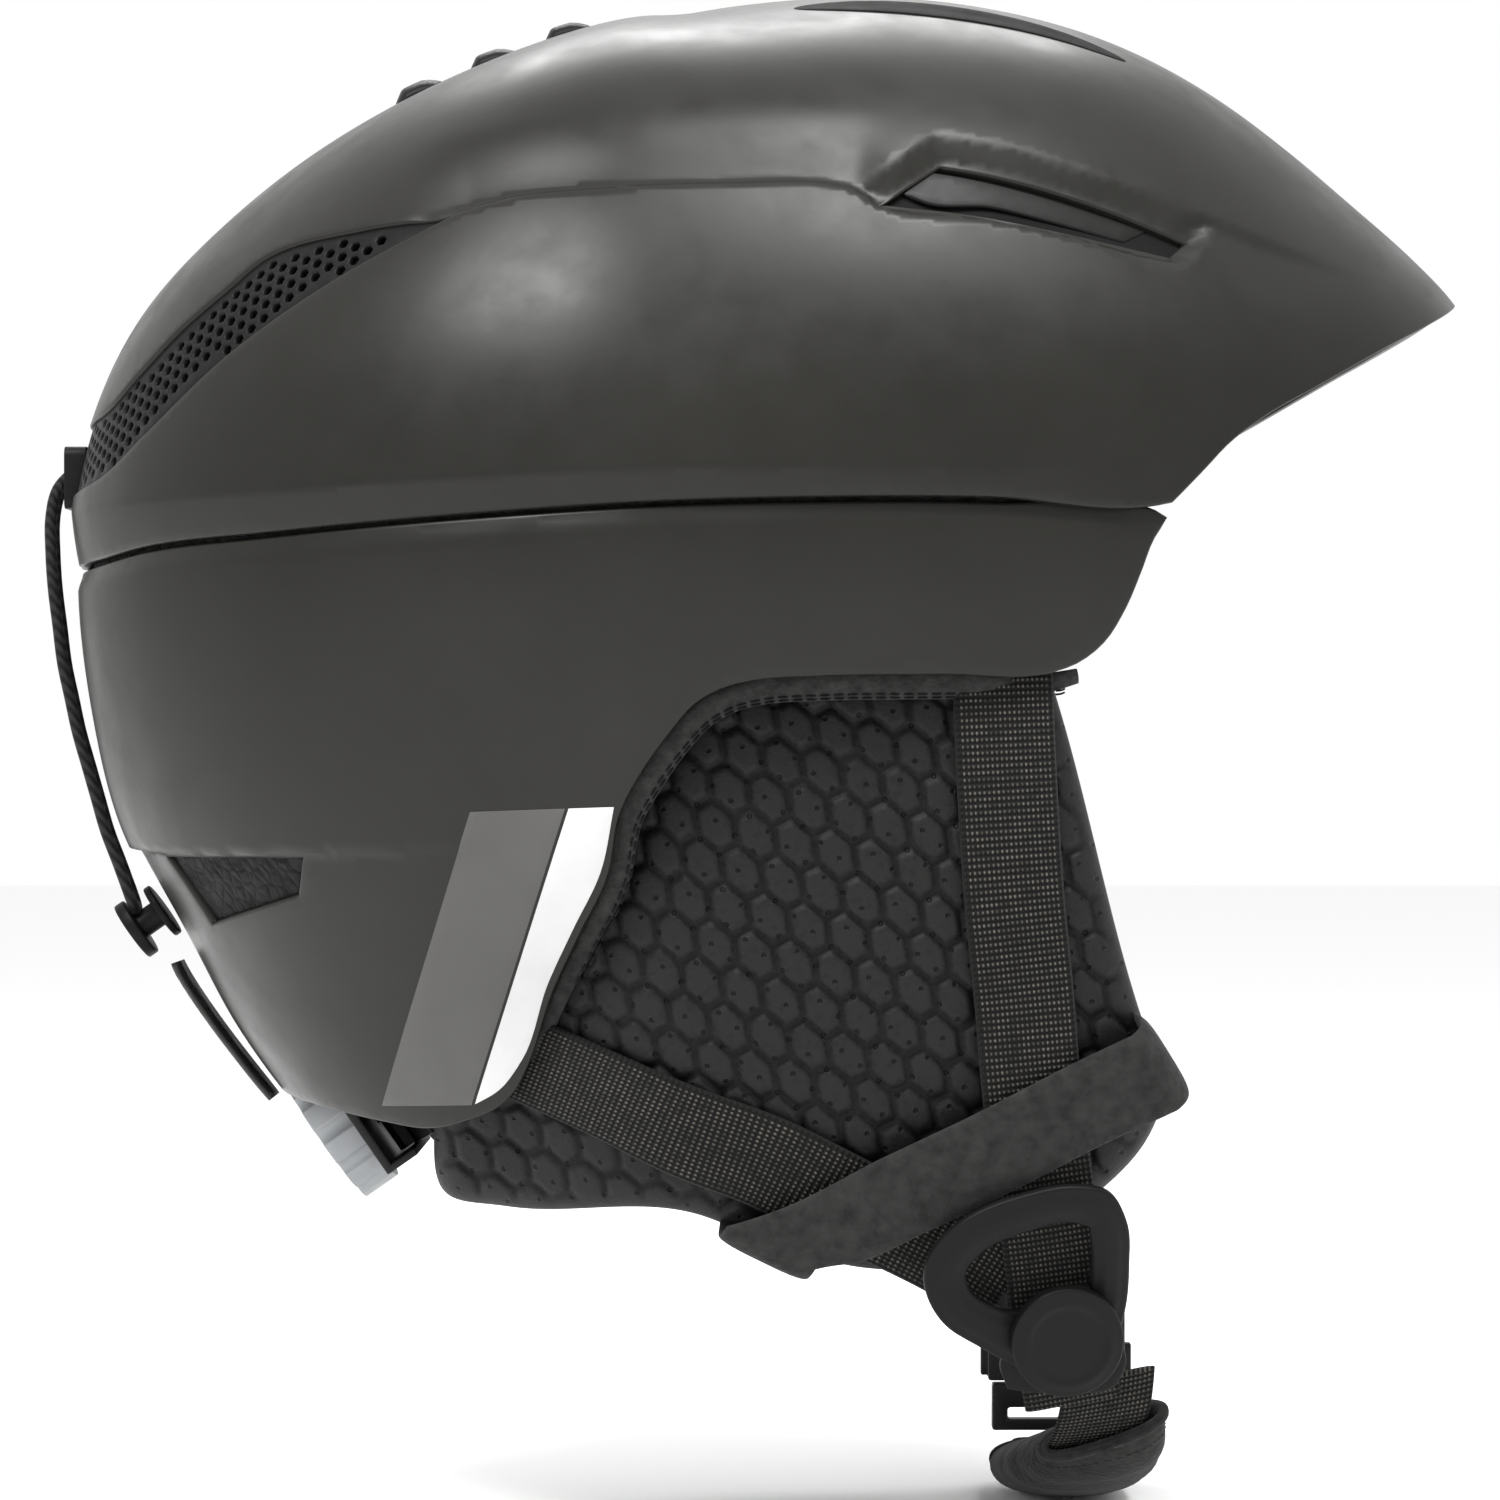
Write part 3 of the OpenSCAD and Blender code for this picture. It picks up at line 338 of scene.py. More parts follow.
def triangulate(loops, lines, spacing, extra=None):
    """Even triangles inside the first loop and outside the others, with lines as edges and extra
    points of the caller's own."""
    low, high = loops[0].min(0), loops[0].max(0)
    row = spacing * math.sqrt(3) / 2
    js = np.arange(int((high[1] - low[1]) / row) + 2)
    xs = np.arange(low[0], high[0] + spacing, spacing)
    grid = np.array([[x + (j % 2) * spacing / 2, low[1] + j * row] for j in js for x in xs])
    grid = grid[within(grid, loops)]
    own = [] if extra is None else [extra]
    grid = grid[gap_to(grid, loops + lines + own) > 0.6 * spacing]
    verts, edges = [], []
    for line, spans in [(p, len(p)) for p in loops] + [(p, len(p) - 1) for p in lines]:
        base = len(verts)
        verts += list(map(tuple, line))
        edges += [(base + i, base + (i + 1) % len(line)) for i in range(spans)]
    for free in own + [grid]:
        verts += list(map(tuple, free))
    out = delaunay_2d_cdt([Vector(v) for v in verts], edges, [], 0, 1e-5)
    points = np.array([tuple(v) for v in out[0]])
    tris = np.array([f for f in out[2] if len(f) == 3])
    tris = tris[within(points[tris].mean(1), loops)]
    a, b, c = points[tris[:, 0]], points[tris[:, 1]], points[tris[:, 2]]
    flip = ((b - a)[:, 0] * (c - a)[:, 1] - (b - a)[:, 1] * (c - a)[:, 0]) < 0
    tris[flip] = tris[flip][:, [0, 2, 1]]
    used, index = np.unique(tris, return_inverse=True)
    return points[used], index.reshape(-1, 3)


def border(tris):
    """Directed edges that only one triangle has."""
    edges = np.vstack([tris[:, [0, 1]], tris[:, [1, 2]], tris[:, [2, 0]]])
    have = {tuple(e) for e in edges.tolist()}
    return [e for e in have if (e[1], e[0]) not in have]


# ------------------------------------------------------------------ mesh making
def raw_mesh(name, verts, faces):
    """A mesh in metres from points in millimetres."""
    mesh = bpy.data.meshes.new(name)
    mesh.from_pydata([tuple(v) for v in (np.asarray(verts) * MM).tolist()], [], faces)
    return mesh


def placed(name, data):
    """A new object of the scene."""
    ob = bpy.data.objects.new(name, data)
    bpy.context.collection.objects.link(ob)
    return ob


def make(name, verts, faces, body, slot, material, replaces=(), uv=None, values=None, smooth=True,
         side=1):
    """A piece from points in millimetres, with its body and material; its slot is not used. Side -1 mirrors it.
    """
    mesh = raw_mesh(name, np.asarray(verts) * [1, side, 1], faces)
    if uv is not None:
        layer = mesh.uv_layers.new(name=UV_NAME)
        loops = np.empty(len(mesh.loops), int)
        mesh.loops.foreach_get("vertex_index", loops)
        layer.data.foreach_set("uv", np.asarray(uv, np.float32)[loops].ravel())
    for key, data in (values or {}).items():
        attribute = mesh.attributes.new(key, "FLOAT", "POINT")
        attribute.data.foreach_set("value", np.asarray(data, np.float32))
    build = bmesh.new()
    build.from_mesh(mesh)
    bmesh.ops.remove_doubles(build, verts=build.verts, dist=1e-6)
    bmesh.ops.dissolve_degenerate(build, edges=build.edges, dist=1e-7)
    bmesh.ops.recalc_face_normals(build, faces=build.faces)
    build.to_mesh(mesh)
    build.free()
    mesh.materials.append(material)
    if smooth:
        mesh.shade_smooth()
    ob = placed(name, mesh)
    if replaces:
        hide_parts(*replaces)
    if body:
        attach(ob, body)
    return ob


def side_name(side):
    return "left" if side > 0 else "right"


def swept(rows, m, caps=True):
    """Faces of a shape swept through rows rings of m points each."""
    faces = [(i * m + j, i * m + (j + 1) % m, (i + 1) * m + (j + 1) % m, (i + 1) * m + j)
             for i in range(rows - 1) for j in range(m)]
    if caps:
        faces += [tuple(range(m)), tuple(reversed(range((rows - 1) * m, rows * m)))]
    return faces


def two_layers(rows, cols):
    """Faces of two grids whose points alternate: first layer, second layer."""
    faces = []
    for i in range(rows - 1):
        for j in range(cols - 1):
            a, b = (i * cols + j) * 2, ((i + 1) * cols + j) * 2
            faces += [(a, b, b + 2, a + 2), (a + 1, a + 3, b + 3, b + 1)]
    return faces


def solid_patch(points, tris, lift, unit, wall, round_r, steps=3, middle=False):
    """A closed sheet from flat triangles: outer face, inner face and rims with rounded edges."""
    rim = border(tris)
    if middle:
        r = np.hypot(points[:, 0], points[:, 1])
        rim = [e for e in rim if not (r[e[0]] > RIM_END and r[e[1]] > RIM_END)]
    n = len(points)
    out = np.zeros((n, 2))
    for a, b in rim:
        d = points[b] - points[a]
        d = d / max(np.linalg.norm(d), 1e-9)
        out[a] += [d[1], -d[0]]
        out[b] += [d[1], -d[0]]
    ids = np.array(sorted({v for e in rim for v in e}))
    out = out[ids]
    base = points[ids]
    if middle:
        r = np.hypot(base[:, 0], base[:, 1])
        ends = r > RIM_END
        radial = base[ends] / r[ends][:, None]
        out[ends] -= (out[ends] * radial).sum(1)[:, None] * radial
    out /= np.maximum(np.linalg.norm(out, axis=1), 1e-9)[:, None]
    scale = unit(base)[:, None]
    angles = [math.radians(90 * (k + 1) / steps) for k in range(steps)]
    ways = [(round_r * math.sin(t), round_r * (1 - math.cos(t))) for t in angles]
    ways += [(w, wall - d) for w, d in reversed(ways)]
    verts = [lift(points, 0.0), lift(points, wall)]
    for w, d in ways:
        verts.append(lift(base + out * (w / scale), d))
    verts = np.vstack(verts)
    faces = [tuple(t) for t in tris.tolist()] + [(a + n, c + n, b + n) for a, b, c in tris.tolist()]
    where = {v: i for i, v in enumerate(ids.tolist())}
    rings = len(ways)
    for a, b in rim:
        ia, ib = where[a], where[b]
        col_a = [a] + [2 * n + k * len(ids) + ia for k in range(rings)] + [a + n]
        col_b = [b] + [2 * n + k * len(ids) + ib for k in range(rings)] + [b + n]
        for k in range(rings + 1):
            faces.append((col_a[k], col_b[k], col_b[k + 1], col_a[k + 1]))
    return verts, faces


def mirrored(verts, faces):
    """The same closed half, and its mirror image in the middle plane."""
    other = verts * [1, -1, 1]
    n = len(verts)
    return np.vstack([verts, other]), faces + [tuple(reversed([i + n for i in f])) for f in faces]


def egg_loop(egg, points, depth, spacing, closed=True):
    """A side-view outline as a loop or line of flat points of a surface."""
    parts = []
    for run in curve(points, closed):
        flat = egg.settle(run[:, 0], run[:, 1], depth)
        parts.append(even(flat, spacing))
    if not closed:
        parts.append(flat[-1:])
    return np.vstack(parts)


def middle_arc(start, end, spacing, way):
    """Flat points along the middle plane between two of its points; way 1 turns upwards."""
    a0 = math.atan2(start[1], start[0])
    a1 = math.atan2(end[1], end[0])
    turn = (a1 - a0) * way % (2 * math.pi) * way
    n = max(2, int(abs(math.degrees(turn)) * math.pi / 2 / spacing))
    at = a0 + turn * np.arange(1, n) / n
    return MIDDLE * np.stack([np.cos(at), np.sin(at)], 1)


def egg_unit(egg):
    """Millimetres of the surface for each degree, at flat points."""
    return lambda p: egg.reach(direction(p)) * math.pi / 180


def no_repeats(loop):
    """Drops points of a loop that fall on the one before."""
    keep = np.linalg.norm(loop - np.roll(loop, 1, axis=0), axis=1) > 0.05
    return loop[keep]


def shut(loop):
    """A loop with its first point again at its end."""
    return np.vstack([loop, loop[:1]])


def relaxed(loop, times):
    """A loop with its corners evened out."""
    for _ in range(times):
        loop = (np.roll(loop, 1, axis=0) + 2 * loop + np.roll(loop, -1, axis=0)) / 4
    return loop


# ------------------------------------------------------------------ relief of the shells
def line_z(line, x):
    """Height of a drawn line over x."""
    p = DRAWN[id(line)]
    return np.interp(x, p[:, 0], p[:, 1])


def drawn(line, closed=False):
    """The close points of the curve through a line, in order of x where it's open."""
    p = np.vstack(curve(line, closed))
    return p if closed else p[np.argsort(p[:, 0], kind="stable")]


BELT_CREASE = [[-140, 9.5], [-118, 9.8], [-29, 13.1], [-10.7, 14.1], [30, 14.7], [67, 15.1], [102, 17]]
LOW_CREASE = [[-60, 56], [-38.4, 65.4], [-30, 67.8], [-11, 69.7], [13.6, 70.8], [38.2, 70.1], [44.4, 68.1]]
HIGH_CREASE = [[-60, 74], [-51, 76], [-31, 79.3], [1, 83.2], [22, 84.4], [53.4, 81.9]]
HOOD = [[38.2, 70.1], [55.4, 82.4], [68.6, 80.4], [87.8, 74.8], [104.6, 69.1], [112, 65.2], [107, 57]]
HOOD_LOW = [[104.5, 56.5], [81.4, 61], [65.5, 64], [46, 65.8]]
NOSE_CREASE = [[109.6, 66.6], [123.4, 61.4], [134.7, 57.6], [146, 54.5]]
CREASE_STEP = 2.2
STEP_TOP = [[x, z + CREASE_STEP] for x, z in LOW_CREASE[1:-2]]
BAND_EDGE = [[-140, -61.3], [-112, -61.5], [-96.8, -62.4], [-70.9, -61.5], [-57.9, -61.4], [-10, -55.4]]
DRAWN = {id(t): drawn(t) for t in (
    BELT, BELT_CREASE, LOW_CREASE, HIGH_CREASE, NOSE_CREASE, BAND_EDGE)}
HOOD_LOOP = drawn(HOOD + HOOD_LOW, closed=True)
VENT_LOOP = drawn(SIDE_VENT, closed=True)


def upper_relief(p):
    """How far the upper shell stands in from the egg: its lower band, crown step, hood and nose."""
    x, y, z = p[:, 0], p[:, 1], p[:, 2]
    xz = p[:, [0, 2]]
    side = ease((np.abs(y) - 14) / 12)
    crease, belt = line_z(BELT_CREASE, x), line_z(BELT, x)
    deep = 2.4 - 1.5 * ease((x + 60) / 130)
    out = -deep * np.clip((crease - z) / (crease - belt), 0, 1.2) * (1 - ease((x - 90) / 12))
    low, high = line_z(LOW_CREASE, x), line_z(HIGH_CREASE, x)
    rise = np.clip((z - low) / CREASE_STEP, 0, 1) * (1 - ease((z - low - CREASE_STEP) / (high - low + 3)))
    along = ease((x + 50) / 14) * (1 - ease((x - 40) / 10))
    out -= 2.2 * rise * along * side
    near = (x > 34) & (x < 116) & (z > 50) & (z < 86)
    slope = np.zeros(len(x))
    if near.any():
        to_hood, to_vent = gap_to(xz[near], [HOOD_LOOP]), gap_to(xz[near], [VENT_LOOP])
        share = to_hood / np.maximum(to_hood + to_vent, 1e-6)
        slope[near] = np.where(inside(xz[near], HOOD_LOOP), share, 0)
    out -= 2.4 * slope * side
    nose = line_z(NOSE_CREASE, x)
    fade = ease((x - 104) / 6) * (1 - ease((x - 118) / 26)) * side
    out -= 0.9 * fade * ease((nose - z + 0.6) / 1.6) * (1 - ease((nose - z) / 16))
    return out


def lower_relief(p):
    """The same for the lower shell: the hollow under its band and the rolled upper lip."""
    x, z = p[:, 0], p[:, 2]
    edge = line_z(BAND_EDGE, x)
    under = ease((edge - z + 0.3) / 1.8) * (1 - ease((edge - z - 4) / 34))
    top = line_z(BELT, x) - BELT_GAP
    lip = -1.0 * (1 - ease((top - z) / 3.2))
    return -2.1 * under * (1 - ease((x + 78) / 60)) + lip * (1 - ease((x - 92) / 6))


# ------------------------------------------------------------------ shells
STEP = 1.0
FINE_STEP = 0.75


def crease_lines(lines, depth, loops):
    """Crease lines as edges, kept clear of the outlines."""
    out = []
    for line in lines:
        flat = egg_loop(SHELL, line, depth, STEP * 0.8, closed=False)
        ok = within(flat, loops) & (gap_to(flat, loops) > STEP * 0.7)
        cuts = np.flatnonzero(np.diff(np.concatenate([[False], ok, [False]]))).reshape(-1, 2)
        out += [flat[a:b] for a, b in cuts if b - a > 1]
    return out


def to_middle(flat):
    """Puts flat points that all but reach the middle plane on it, and says which they are."""
    r = np.hypot(flat[:, 0], flat[:, 1])
    far = r > RIM_END
    flat[far] *= (MIDDLE / r[far])[:, None]
    return far


def half_rim(outline, depth):
    """The part of an outline between the two places where it meets the middle plane."""
    rim = egg_loop(SHELL, outline, depth, STEP, closed=False)
    inner = np.flatnonzero(~to_middle(rim))
    return rim[max(inner[0] - 1, 0):inner[-1] + 2]


def shell_skin(name, node, loop, holes, creases, spacing, depth, bump, round_r, material):
    """A shell from its left half's outline, holes and crease lines."""
    loops = [no_repeats(p) for p in [loop] + holes]
    points, tris = triangulate(loops, crease_lines(creases, depth, loops), spacing)
    to_middle(points)
    verts, faces = solid_patch(points, tris, lambda p, d: SHELL.lift(p, depth + d, bump),
                               egg_unit(SHELL), SHELL_WALL, round_r, middle=True)
    verts[np.abs(verts[:, 1]) < ON_MIDDLE, 1] = 0
    make(name, *mirrored(verts, faces), "helmet", "shell_satin", material, [node])


TOP_VENT_X = (-46.0, -14.0)
TOP_VENT_HALF = 17.0


def top_vent_loop():
    """The half of the top vent's opening as a notch in the middle plane's edge."""
    (x0, x1), y = TOP_VENT_X, TOP_VENT_HALF
    side = [[x0, 0], [x0, y], [x1, y], [x1, 0]]
    line = np.vstack([np.linspace(a, b, 24)[:-1] for a, b in zip(np.array(side[:-1]), np.array(side[1:]))]
                     + [np.array([side[-1]])])
    z = SHELL.top(line[:, 0], line[:, 1])
    return flat_of(np.stack([line[:, 0], line[:, 1], z], 1))


def upper_shell(material):
    rim = half_rim(BELT + VISOR_RIM[1:], 0)
    vent = top_vent_loop()[::-1]
    loop = np.vstack([rim, middle_arc(rim[-1], vent[0], STEP, 1), even(vent, STEP), vent[-1:],
                      middle_arc(vent[-1], rim[0], STEP, 1)])
    holes = [egg_loop(SHELL, GRILLE, 0, STEP * 0.8), egg_loop(SHELL, SIDE_VENT, 0, STEP * 0.6)]
    creases = [BELT_CREASE, LOW_CREASE[:-2], STEP_TOP, HOOD + HOOD_LOW + HOOD[:1]]
    shell_skin("upper_shell_skin", "upper_shell", loop, holes, creases, FINE_STEP, 0, upper_relief,
               0.7, material)


def lower_shell(material):
    rim = half_rim([[x, z - BELT_GAP] for x, z in BELT[:-1]] + LOWER_RIM, LOWER_INSET)
    loop = np.vstack([rim, middle_arc(rim[-1], rim[0], STEP, -1)])
    window = egg_loop(SHELL, REAR_WINDOW, LOWER_INSET, STEP * 0.7)
    shell_skin("lower_shell_skin", "lower_shell", loop, [window], [BAND_EDGE], STEP, LOWER_INSET,
               lower_relief, 0.9, material)


# ------------------------------------------------------------------ vents
HEX_PITCH = 3.9
HEX_OPEN = 0.74  # a cell's size as a share of the pitch
HEX_LEAN = 36
GRILLE_DEPTH, GRILLE_WALL = 0.8, 1.8


def shell_patch(loops, spacing, depth, bump, wall, round_r, steps=3):
    """A plate that follows the shell, sunk by depth."""
    points, tris = triangulate(loops, [], spacing)
    return solid_patch(points, tris, lambda p, d: SHELL.lift(p, depth + d, bump), egg_unit(SHELL),
                       wall, round_r, steps)


def hex_grille(material, side):
    """Honeycomb plate in the rear vent, its cells laid out along the surface."""
    outline = no_repeats(egg_loop(SHELL, GRILLE, 0, 0.7))
    mid = outline.mean(0)
    outline = mid + (outline - mid) * 0.985
    low, high = outline.min(0), outline.max(0)
    unit = egg_unit(SHELL)(np.array([mid]))[0]
    pitch = HEX_PITCH / unit
    lean = math.radians(HEX_LEAN)
    turn = np.array([[math.cos(lean), -math.sin(lean)], [math.sin(lean), math.cos(lean)]])
    span = int(np.linalg.norm(high - low) / pitch) + 2
    clear = 1.5 / unit * 0.6
    a = np.radians(np.arange(6) * 60 + 30 + HEX_LEAN)
    corners = HEX_OPEN * pitch / math.sqrt(3) * np.stack([np.cos(a), np.sin(a)], 1)
    holes = []
    for j in range(-span, span):
        for i in range(-span, span):
            ring = mid + turn @ np.array([(i + (j % 2) / 2) * pitch, j * pitch * math.sqrt(3) / 2]) + corners
            if inside(ring, outline).all() and gap_to(ring, [outline]).min() > clear:
                halves = (ring + np.roll(ring, -1, axis=0)) / 2
                holes.append(np.stack([ring, halves], 1).reshape(-1, 2))
    verts, faces = shell_patch([outline] + holes, 1.2, GRILLE_DEPTH, grille_relief, GRILLE_WALL, 0.3, 2)
    name = side_name(side)
    make("grille_mesh_" + name, verts, faces, "helmet", "trim_plastic", material, ["grille_" + name],
         side=side)


def grille_relief(p):
    return 0.6 * np.minimum(upper_relief(p), 0)


def shutter(material, side):
    """Sliding plate and dark bed of the side vent."""
    plate = [[50.8, 71.4], [56.5, 75.6], [57.9, 75.4], [78.9, 71.1], [100, 65], [95.6, 62.7],
             [78.8, 66.8], [68.2, 69.0], [55, 69.6]]
    bed = [[54, 81], [36, 68], [66, 60], [82, 58], [107, 54.5], [113, 62], [95, 71], [79, 76], [66, 80]]
    name = side_name(side)
    for key, outline, depth, wall, r, bump, mat in (
            ("shutter", plate, 2.75, 1.0, 0.45, shutter_relief, material[0]),
            ("vent_bed", bed, 3.9, 1.1, 0.3, None, material[1])):
        loop = no_repeats(egg_loop(SHELL, outline, 0, 0.8))
        verts, faces = shell_patch([loop], 0.9, depth, bump, wall, r)
        make(key + "_" + name, verts, faces, "helmet", "trim_plastic", mat, ["vent_insert_" + name],
             side=side)


def shutter_relief(p):
    """The plate stands a little proud at its upper rear end, as a finger grip."""
    return -0.9 * ease((p[:, 0] - 60) / 40)


def louvre(name, x0, material):
    """One low hood over the top vent, steep at the back and rounded at its ends."""
    half, rows, cols = 19.0, 25, 11
    shape = [[0, 0.1], [0.5, 1.3], [1.3, 2.75], [1.9, 3.0], [3.6, 3.0], [5.6, 2.9], [7.4, 2.2],
             [9.2, 1.2], [10, 0.6]]
    verts = []
    for i in range(rows):
        t = -1 + 2 * i / (rows - 1)
        y = half * math.sin(t * math.pi / 2)
        fade = max(1 - abs(y / half) ** 6, 0.0) ** 0.5
        xs = np.array([x0 + 5 + (s[0] - 5) * (0.55 + 0.45 * fade) for s in shape])
        ground = SHELL.top(xs, np.full(len(xs), abs(y)))
        lifted = ground + np.array([s[1] for s in shape]) * (0.12 + 0.88 * fade)
        for x, z in zip(xs, lifted):
            verts.append((x, y, z))
        for x, z in zip(xs[::-1], ground[::-1]):
            verts.append((x, y, z - 0.9))
    ob = make(name, verts, swept(rows, 2 * len(shape)), "helmet", "trim_plastic", material,
              ["top_vent_louvres"])
    ob.data.set_sharp_from_angle(angle=math.radians(26))


def screen_bar(a, b, deep, width=1.1, thick=1.1, n=14):
    """One square bar of the screen between two points over the crown, deep under the shell."""
    side = np.array([-(b[1] - a[1]), b[0] - a[0]])
    side = side / np.linalg.norm(side) * width / 2
    verts = []
    for p in np.linspace(a, b, n):
        for s, d in ((1, deep), (-1, deep), (-1, deep + thick), (1, deep + thick)):
            q = p + s * side
            z = SHELL.top(np.array([q[0]]), np.array([abs(q[1])]))[0]
            verts.append((q[0], q[1], z - d))
    return verts, swept(n, 4)


def top_mesh(material):
    """Fine screen in the top vent: bars both ways that follow the shell."""
    x0, x1, w, rim = -45.6, -14.4, 16.6, 0.6
    bars = [screen_bar(np.array([x0, y]), np.array([x1, y]), 0.9) for y in np.linspace(-w + rim, w - rim, 11)]
    bars += [screen_bar(np.array([x, -w]), np.array([x, w]), 1.15)
             for x in np.linspace(x0 + rim, x1 - rim, 10)]
    make("top_mesh", *joined(bars), "helmet", "trim_plastic", material, ["top_vent_mesh"], smooth=False)


INTAKE_Y, INTAKE_HALF = 29, 5.2


def scoop(material, side):
    """Slender intake at the front of the crown, a dark patch set flush in the shell: its near-black colour is
    partly the intake's dark plastic and partly painted shade for the opening, which is not cut.
    """
    t = np.linspace(0, 2 * math.pi, 90)[:-1]
    x = 62 + 34 * np.cos(t)
    y = INTAKE_Y + INTAKE_HALF * np.sin(t) * (1 - 0.25 * np.cos(t))
    loop = flat_of(np.stack([x, y, SHELL.top(x, y)], 1))[::-1]
    verts, faces = shell_patch([loop], 0.9, -0.35, scoop_relief, 0.9, 0.3)
    make("intake_" + side_name(side), verts, faces, "helmet", "trim_plastic", material, side=side)


def scoop_relief(p):
    wide = np.abs(np.abs(p[:, 1]) - INTAKE_Y) / INTAKE_HALF
    return -0.3 * (1 - np.clip(wide, 0, 1))


def decal(name, outline, material, slot):
    """A thin film on both sides of the lower shell; its CAD node has its slot's name."""
    loop = no_repeats(egg_loop(SHELL, outline, 0, 0.8))
    patch = shell_patch([loop], 1.1, LOWER_INSET - 0.16, lower_relief, 0.14, 0.06, 2)
    make(name, *mirrored(*patch), "helmet", slot, material, [slot])


# ------------------------------------------------------------------ foam liner and comfort pads
FOAM_EDGE = [
    [-140, -98], [-40, -98], [-33, -90], [-22, -62], [-14, -40], [-4, -24], [10, -16],
    [82, -14], [89, -8], [92, 0], [95, 8], [102, 20], [108, 28], [116, 36], [134, 52]]


def egg_object(egg, depth, around=96, across=64):
    """A closed egg as a tool for cutting, sunk by depth."""
    rings = []
    for i in range(1, across):
        g = math.pi * i / across
        a = np.arange(around) * 2 * math.pi / around
        d = np.stack([np.sin(g) * np.cos(a), np.full(around, np.cos(g)), np.sin(g) * np.sin(a)], 1)
        rings.append(d * (egg.reach(d) - depth)[:, None])
    pole = egg.reach(np.array([[0.0, 1, 0]]))[0] - depth
    verts = np.vstack(rings + [[[0, pole, 0], [0, -pole, 0]]])
    n, m = across - 1, around
    faces = swept(n, m, caps=False)
    faces += [((j + 1) % m, j, n * m) for j in range(m)]
    faces += [((n - 1) * m + j, (n - 1) * m + (j + 1) % m, n * m + 1) for j in range(m)]
    return cutter(verts, faces)


def cutter(verts, faces):
    """An object that a boolean uses up."""
    mesh = raw_mesh("tool", verts, faces)
    build = bmesh.new()
    build.from_mesh(mesh)
    bmesh.ops.recalc_face_normals(build, faces=build.faces)
    build.to_mesh(mesh)
    build.free()
    return placed("tool", mesh)


def prism_faces(n):
    """Faces of a prism whose n first points are one end and whose n last are the other."""
    return ([tuple(range(n)), tuple(range(2 * n - 1, n - 1, -1))]
            + [(i, (i + 1) % n, n + (i + 1) % n, n + i) for i in range(n)])


def prism(points, y0, y1):
    """A side-view outline drawn out from y0 to y1."""
    p = np.array(points, float)
    return cutter([(x, y0, z) for x, z in p] + [(x, y1, z) for x, z in p], prism_faces(len(p)))


def box_tool(low, high):
    (x0, y0, z0), (x1, y1, z1) = low, high
    return prism([[x0, z0], [x1, z0], [x1, z1], [x0, z1]], y0, y1)


def apply_all(ob):
    """Leaves the result of an object's modifiers as its mesh."""
    graph = bpy.context.evaluated_depsgraph_get()
    mesh = bpy.data.meshes.new_from_object(ob.evaluated_get(graph))
    ob.modifiers.clear()
    ob.data = mesh


def combine(ob, tool, operation="DIFFERENCE"):
    """Cuts an object with a tool, and throws the tool away."""
    modifier = ob.modifiers.new("cut", "BOOLEAN")
    modifier.object = tool
    modifier.operation = operation
    modifier.solver = "MANIFOLD"
    apply_all(ob)
    bpy.data.objects.remove(tool)


def foam_liner(material):
    """The foam between shell and cavity: cut like the CAD's, then grown together and softened."""
    ob = egg_object(SHELL, FOAM_DEPTH)
    combine(ob, prism(FOAM_EDGE + [[134, 160], [-140, 160]], -150, 150), "INTERSECT")
    combine(ob, egg_object(CAVITY, 0))
    arch = [[70 * math.cos(math.radians(a)), 31 * math.sin(math.radians(a))] for a in range(0, 360, 6)]
    combine(ob, cutter([(x, y, z) for x in (60, 260) for y, z in arch], prism_faces(len(arch))))
    combine(ob, box_tool((-42, -13, 60), (-18, 13, 160)))
    for low, high in ((-200, 0), (0, 200)):
        combine(ob, box_tool((63, low, 59.5), (93, high, 68.5)))
    low, high = (np.array(c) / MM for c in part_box("cradle_yoke"))
    combine(ob, box_tool(low - 1.5, high + 1.5))
    remesh = ob.modifiers.new("even", "REMESH")
    remesh.mode = "VOXEL"
    remesh.voxel_size = 2.4 * MM
    smooth = ob.modifiers.new("soft", "SMOOTH")
    smooth.factor = 0.5
    smooth.iterations = 3
    apply_all(ob)
    ob.name = "foam_liner"
    ob.data.shade_smooth()
    ob.data.materials.clear()
    ob.data.materials.append(material)
    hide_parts("eps_liner")
    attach(ob, "helmet")


PAD_GAP = 0.8  # from the head cavity to a comfort pad's back
PAD_WALL = 5.6
PAD_DOME = 11  # how far in from its edge a pad still rises
PAD_PUFF = 2.4


def comfort_pad(name, node, loop, slot, material, unit, place, side=1):
    """A soft pad that lies on the head cavity, domed and rolled at its edges. Its loop is flat,
    place gives the points at a depth under the cavity, and unit the millimetres to a flat unit."""
    points, tris = triangulate([loop], [], 2.6)
    edge = shut(loop)
    scale = unit(loop).mean()

    def lift(p, d):
        near = np.minimum(reach_of(p, edge) * scale / PAD_DOME, 1)
        puff = PAD_PUFF * (1 - near) ** 2
        return place(p, PAD_GAP + d + np.where(d > 2.9, -puff, 0))

    verts, faces = solid_patch(points, tris, lift, unit, PAD_WALL, 2.6, steps=4)
    ob = make(name, verts, faces, "helmet", slot, material, [node], side=side)


def centred_pad(name, node, loop, frame_of, material):
    """A comfort pad across the middle plane; frame_of gives the directions of its flat points."""
    def place(p, depth):
        away = unit_rows(frame_of(p))
        return away * (CAVITY.reach(away) - depth)[:, None]

    comfort_pad(name, node, no_repeats(loop), "liner_fabric", material, lambda p: np.ones(len(p)), place)


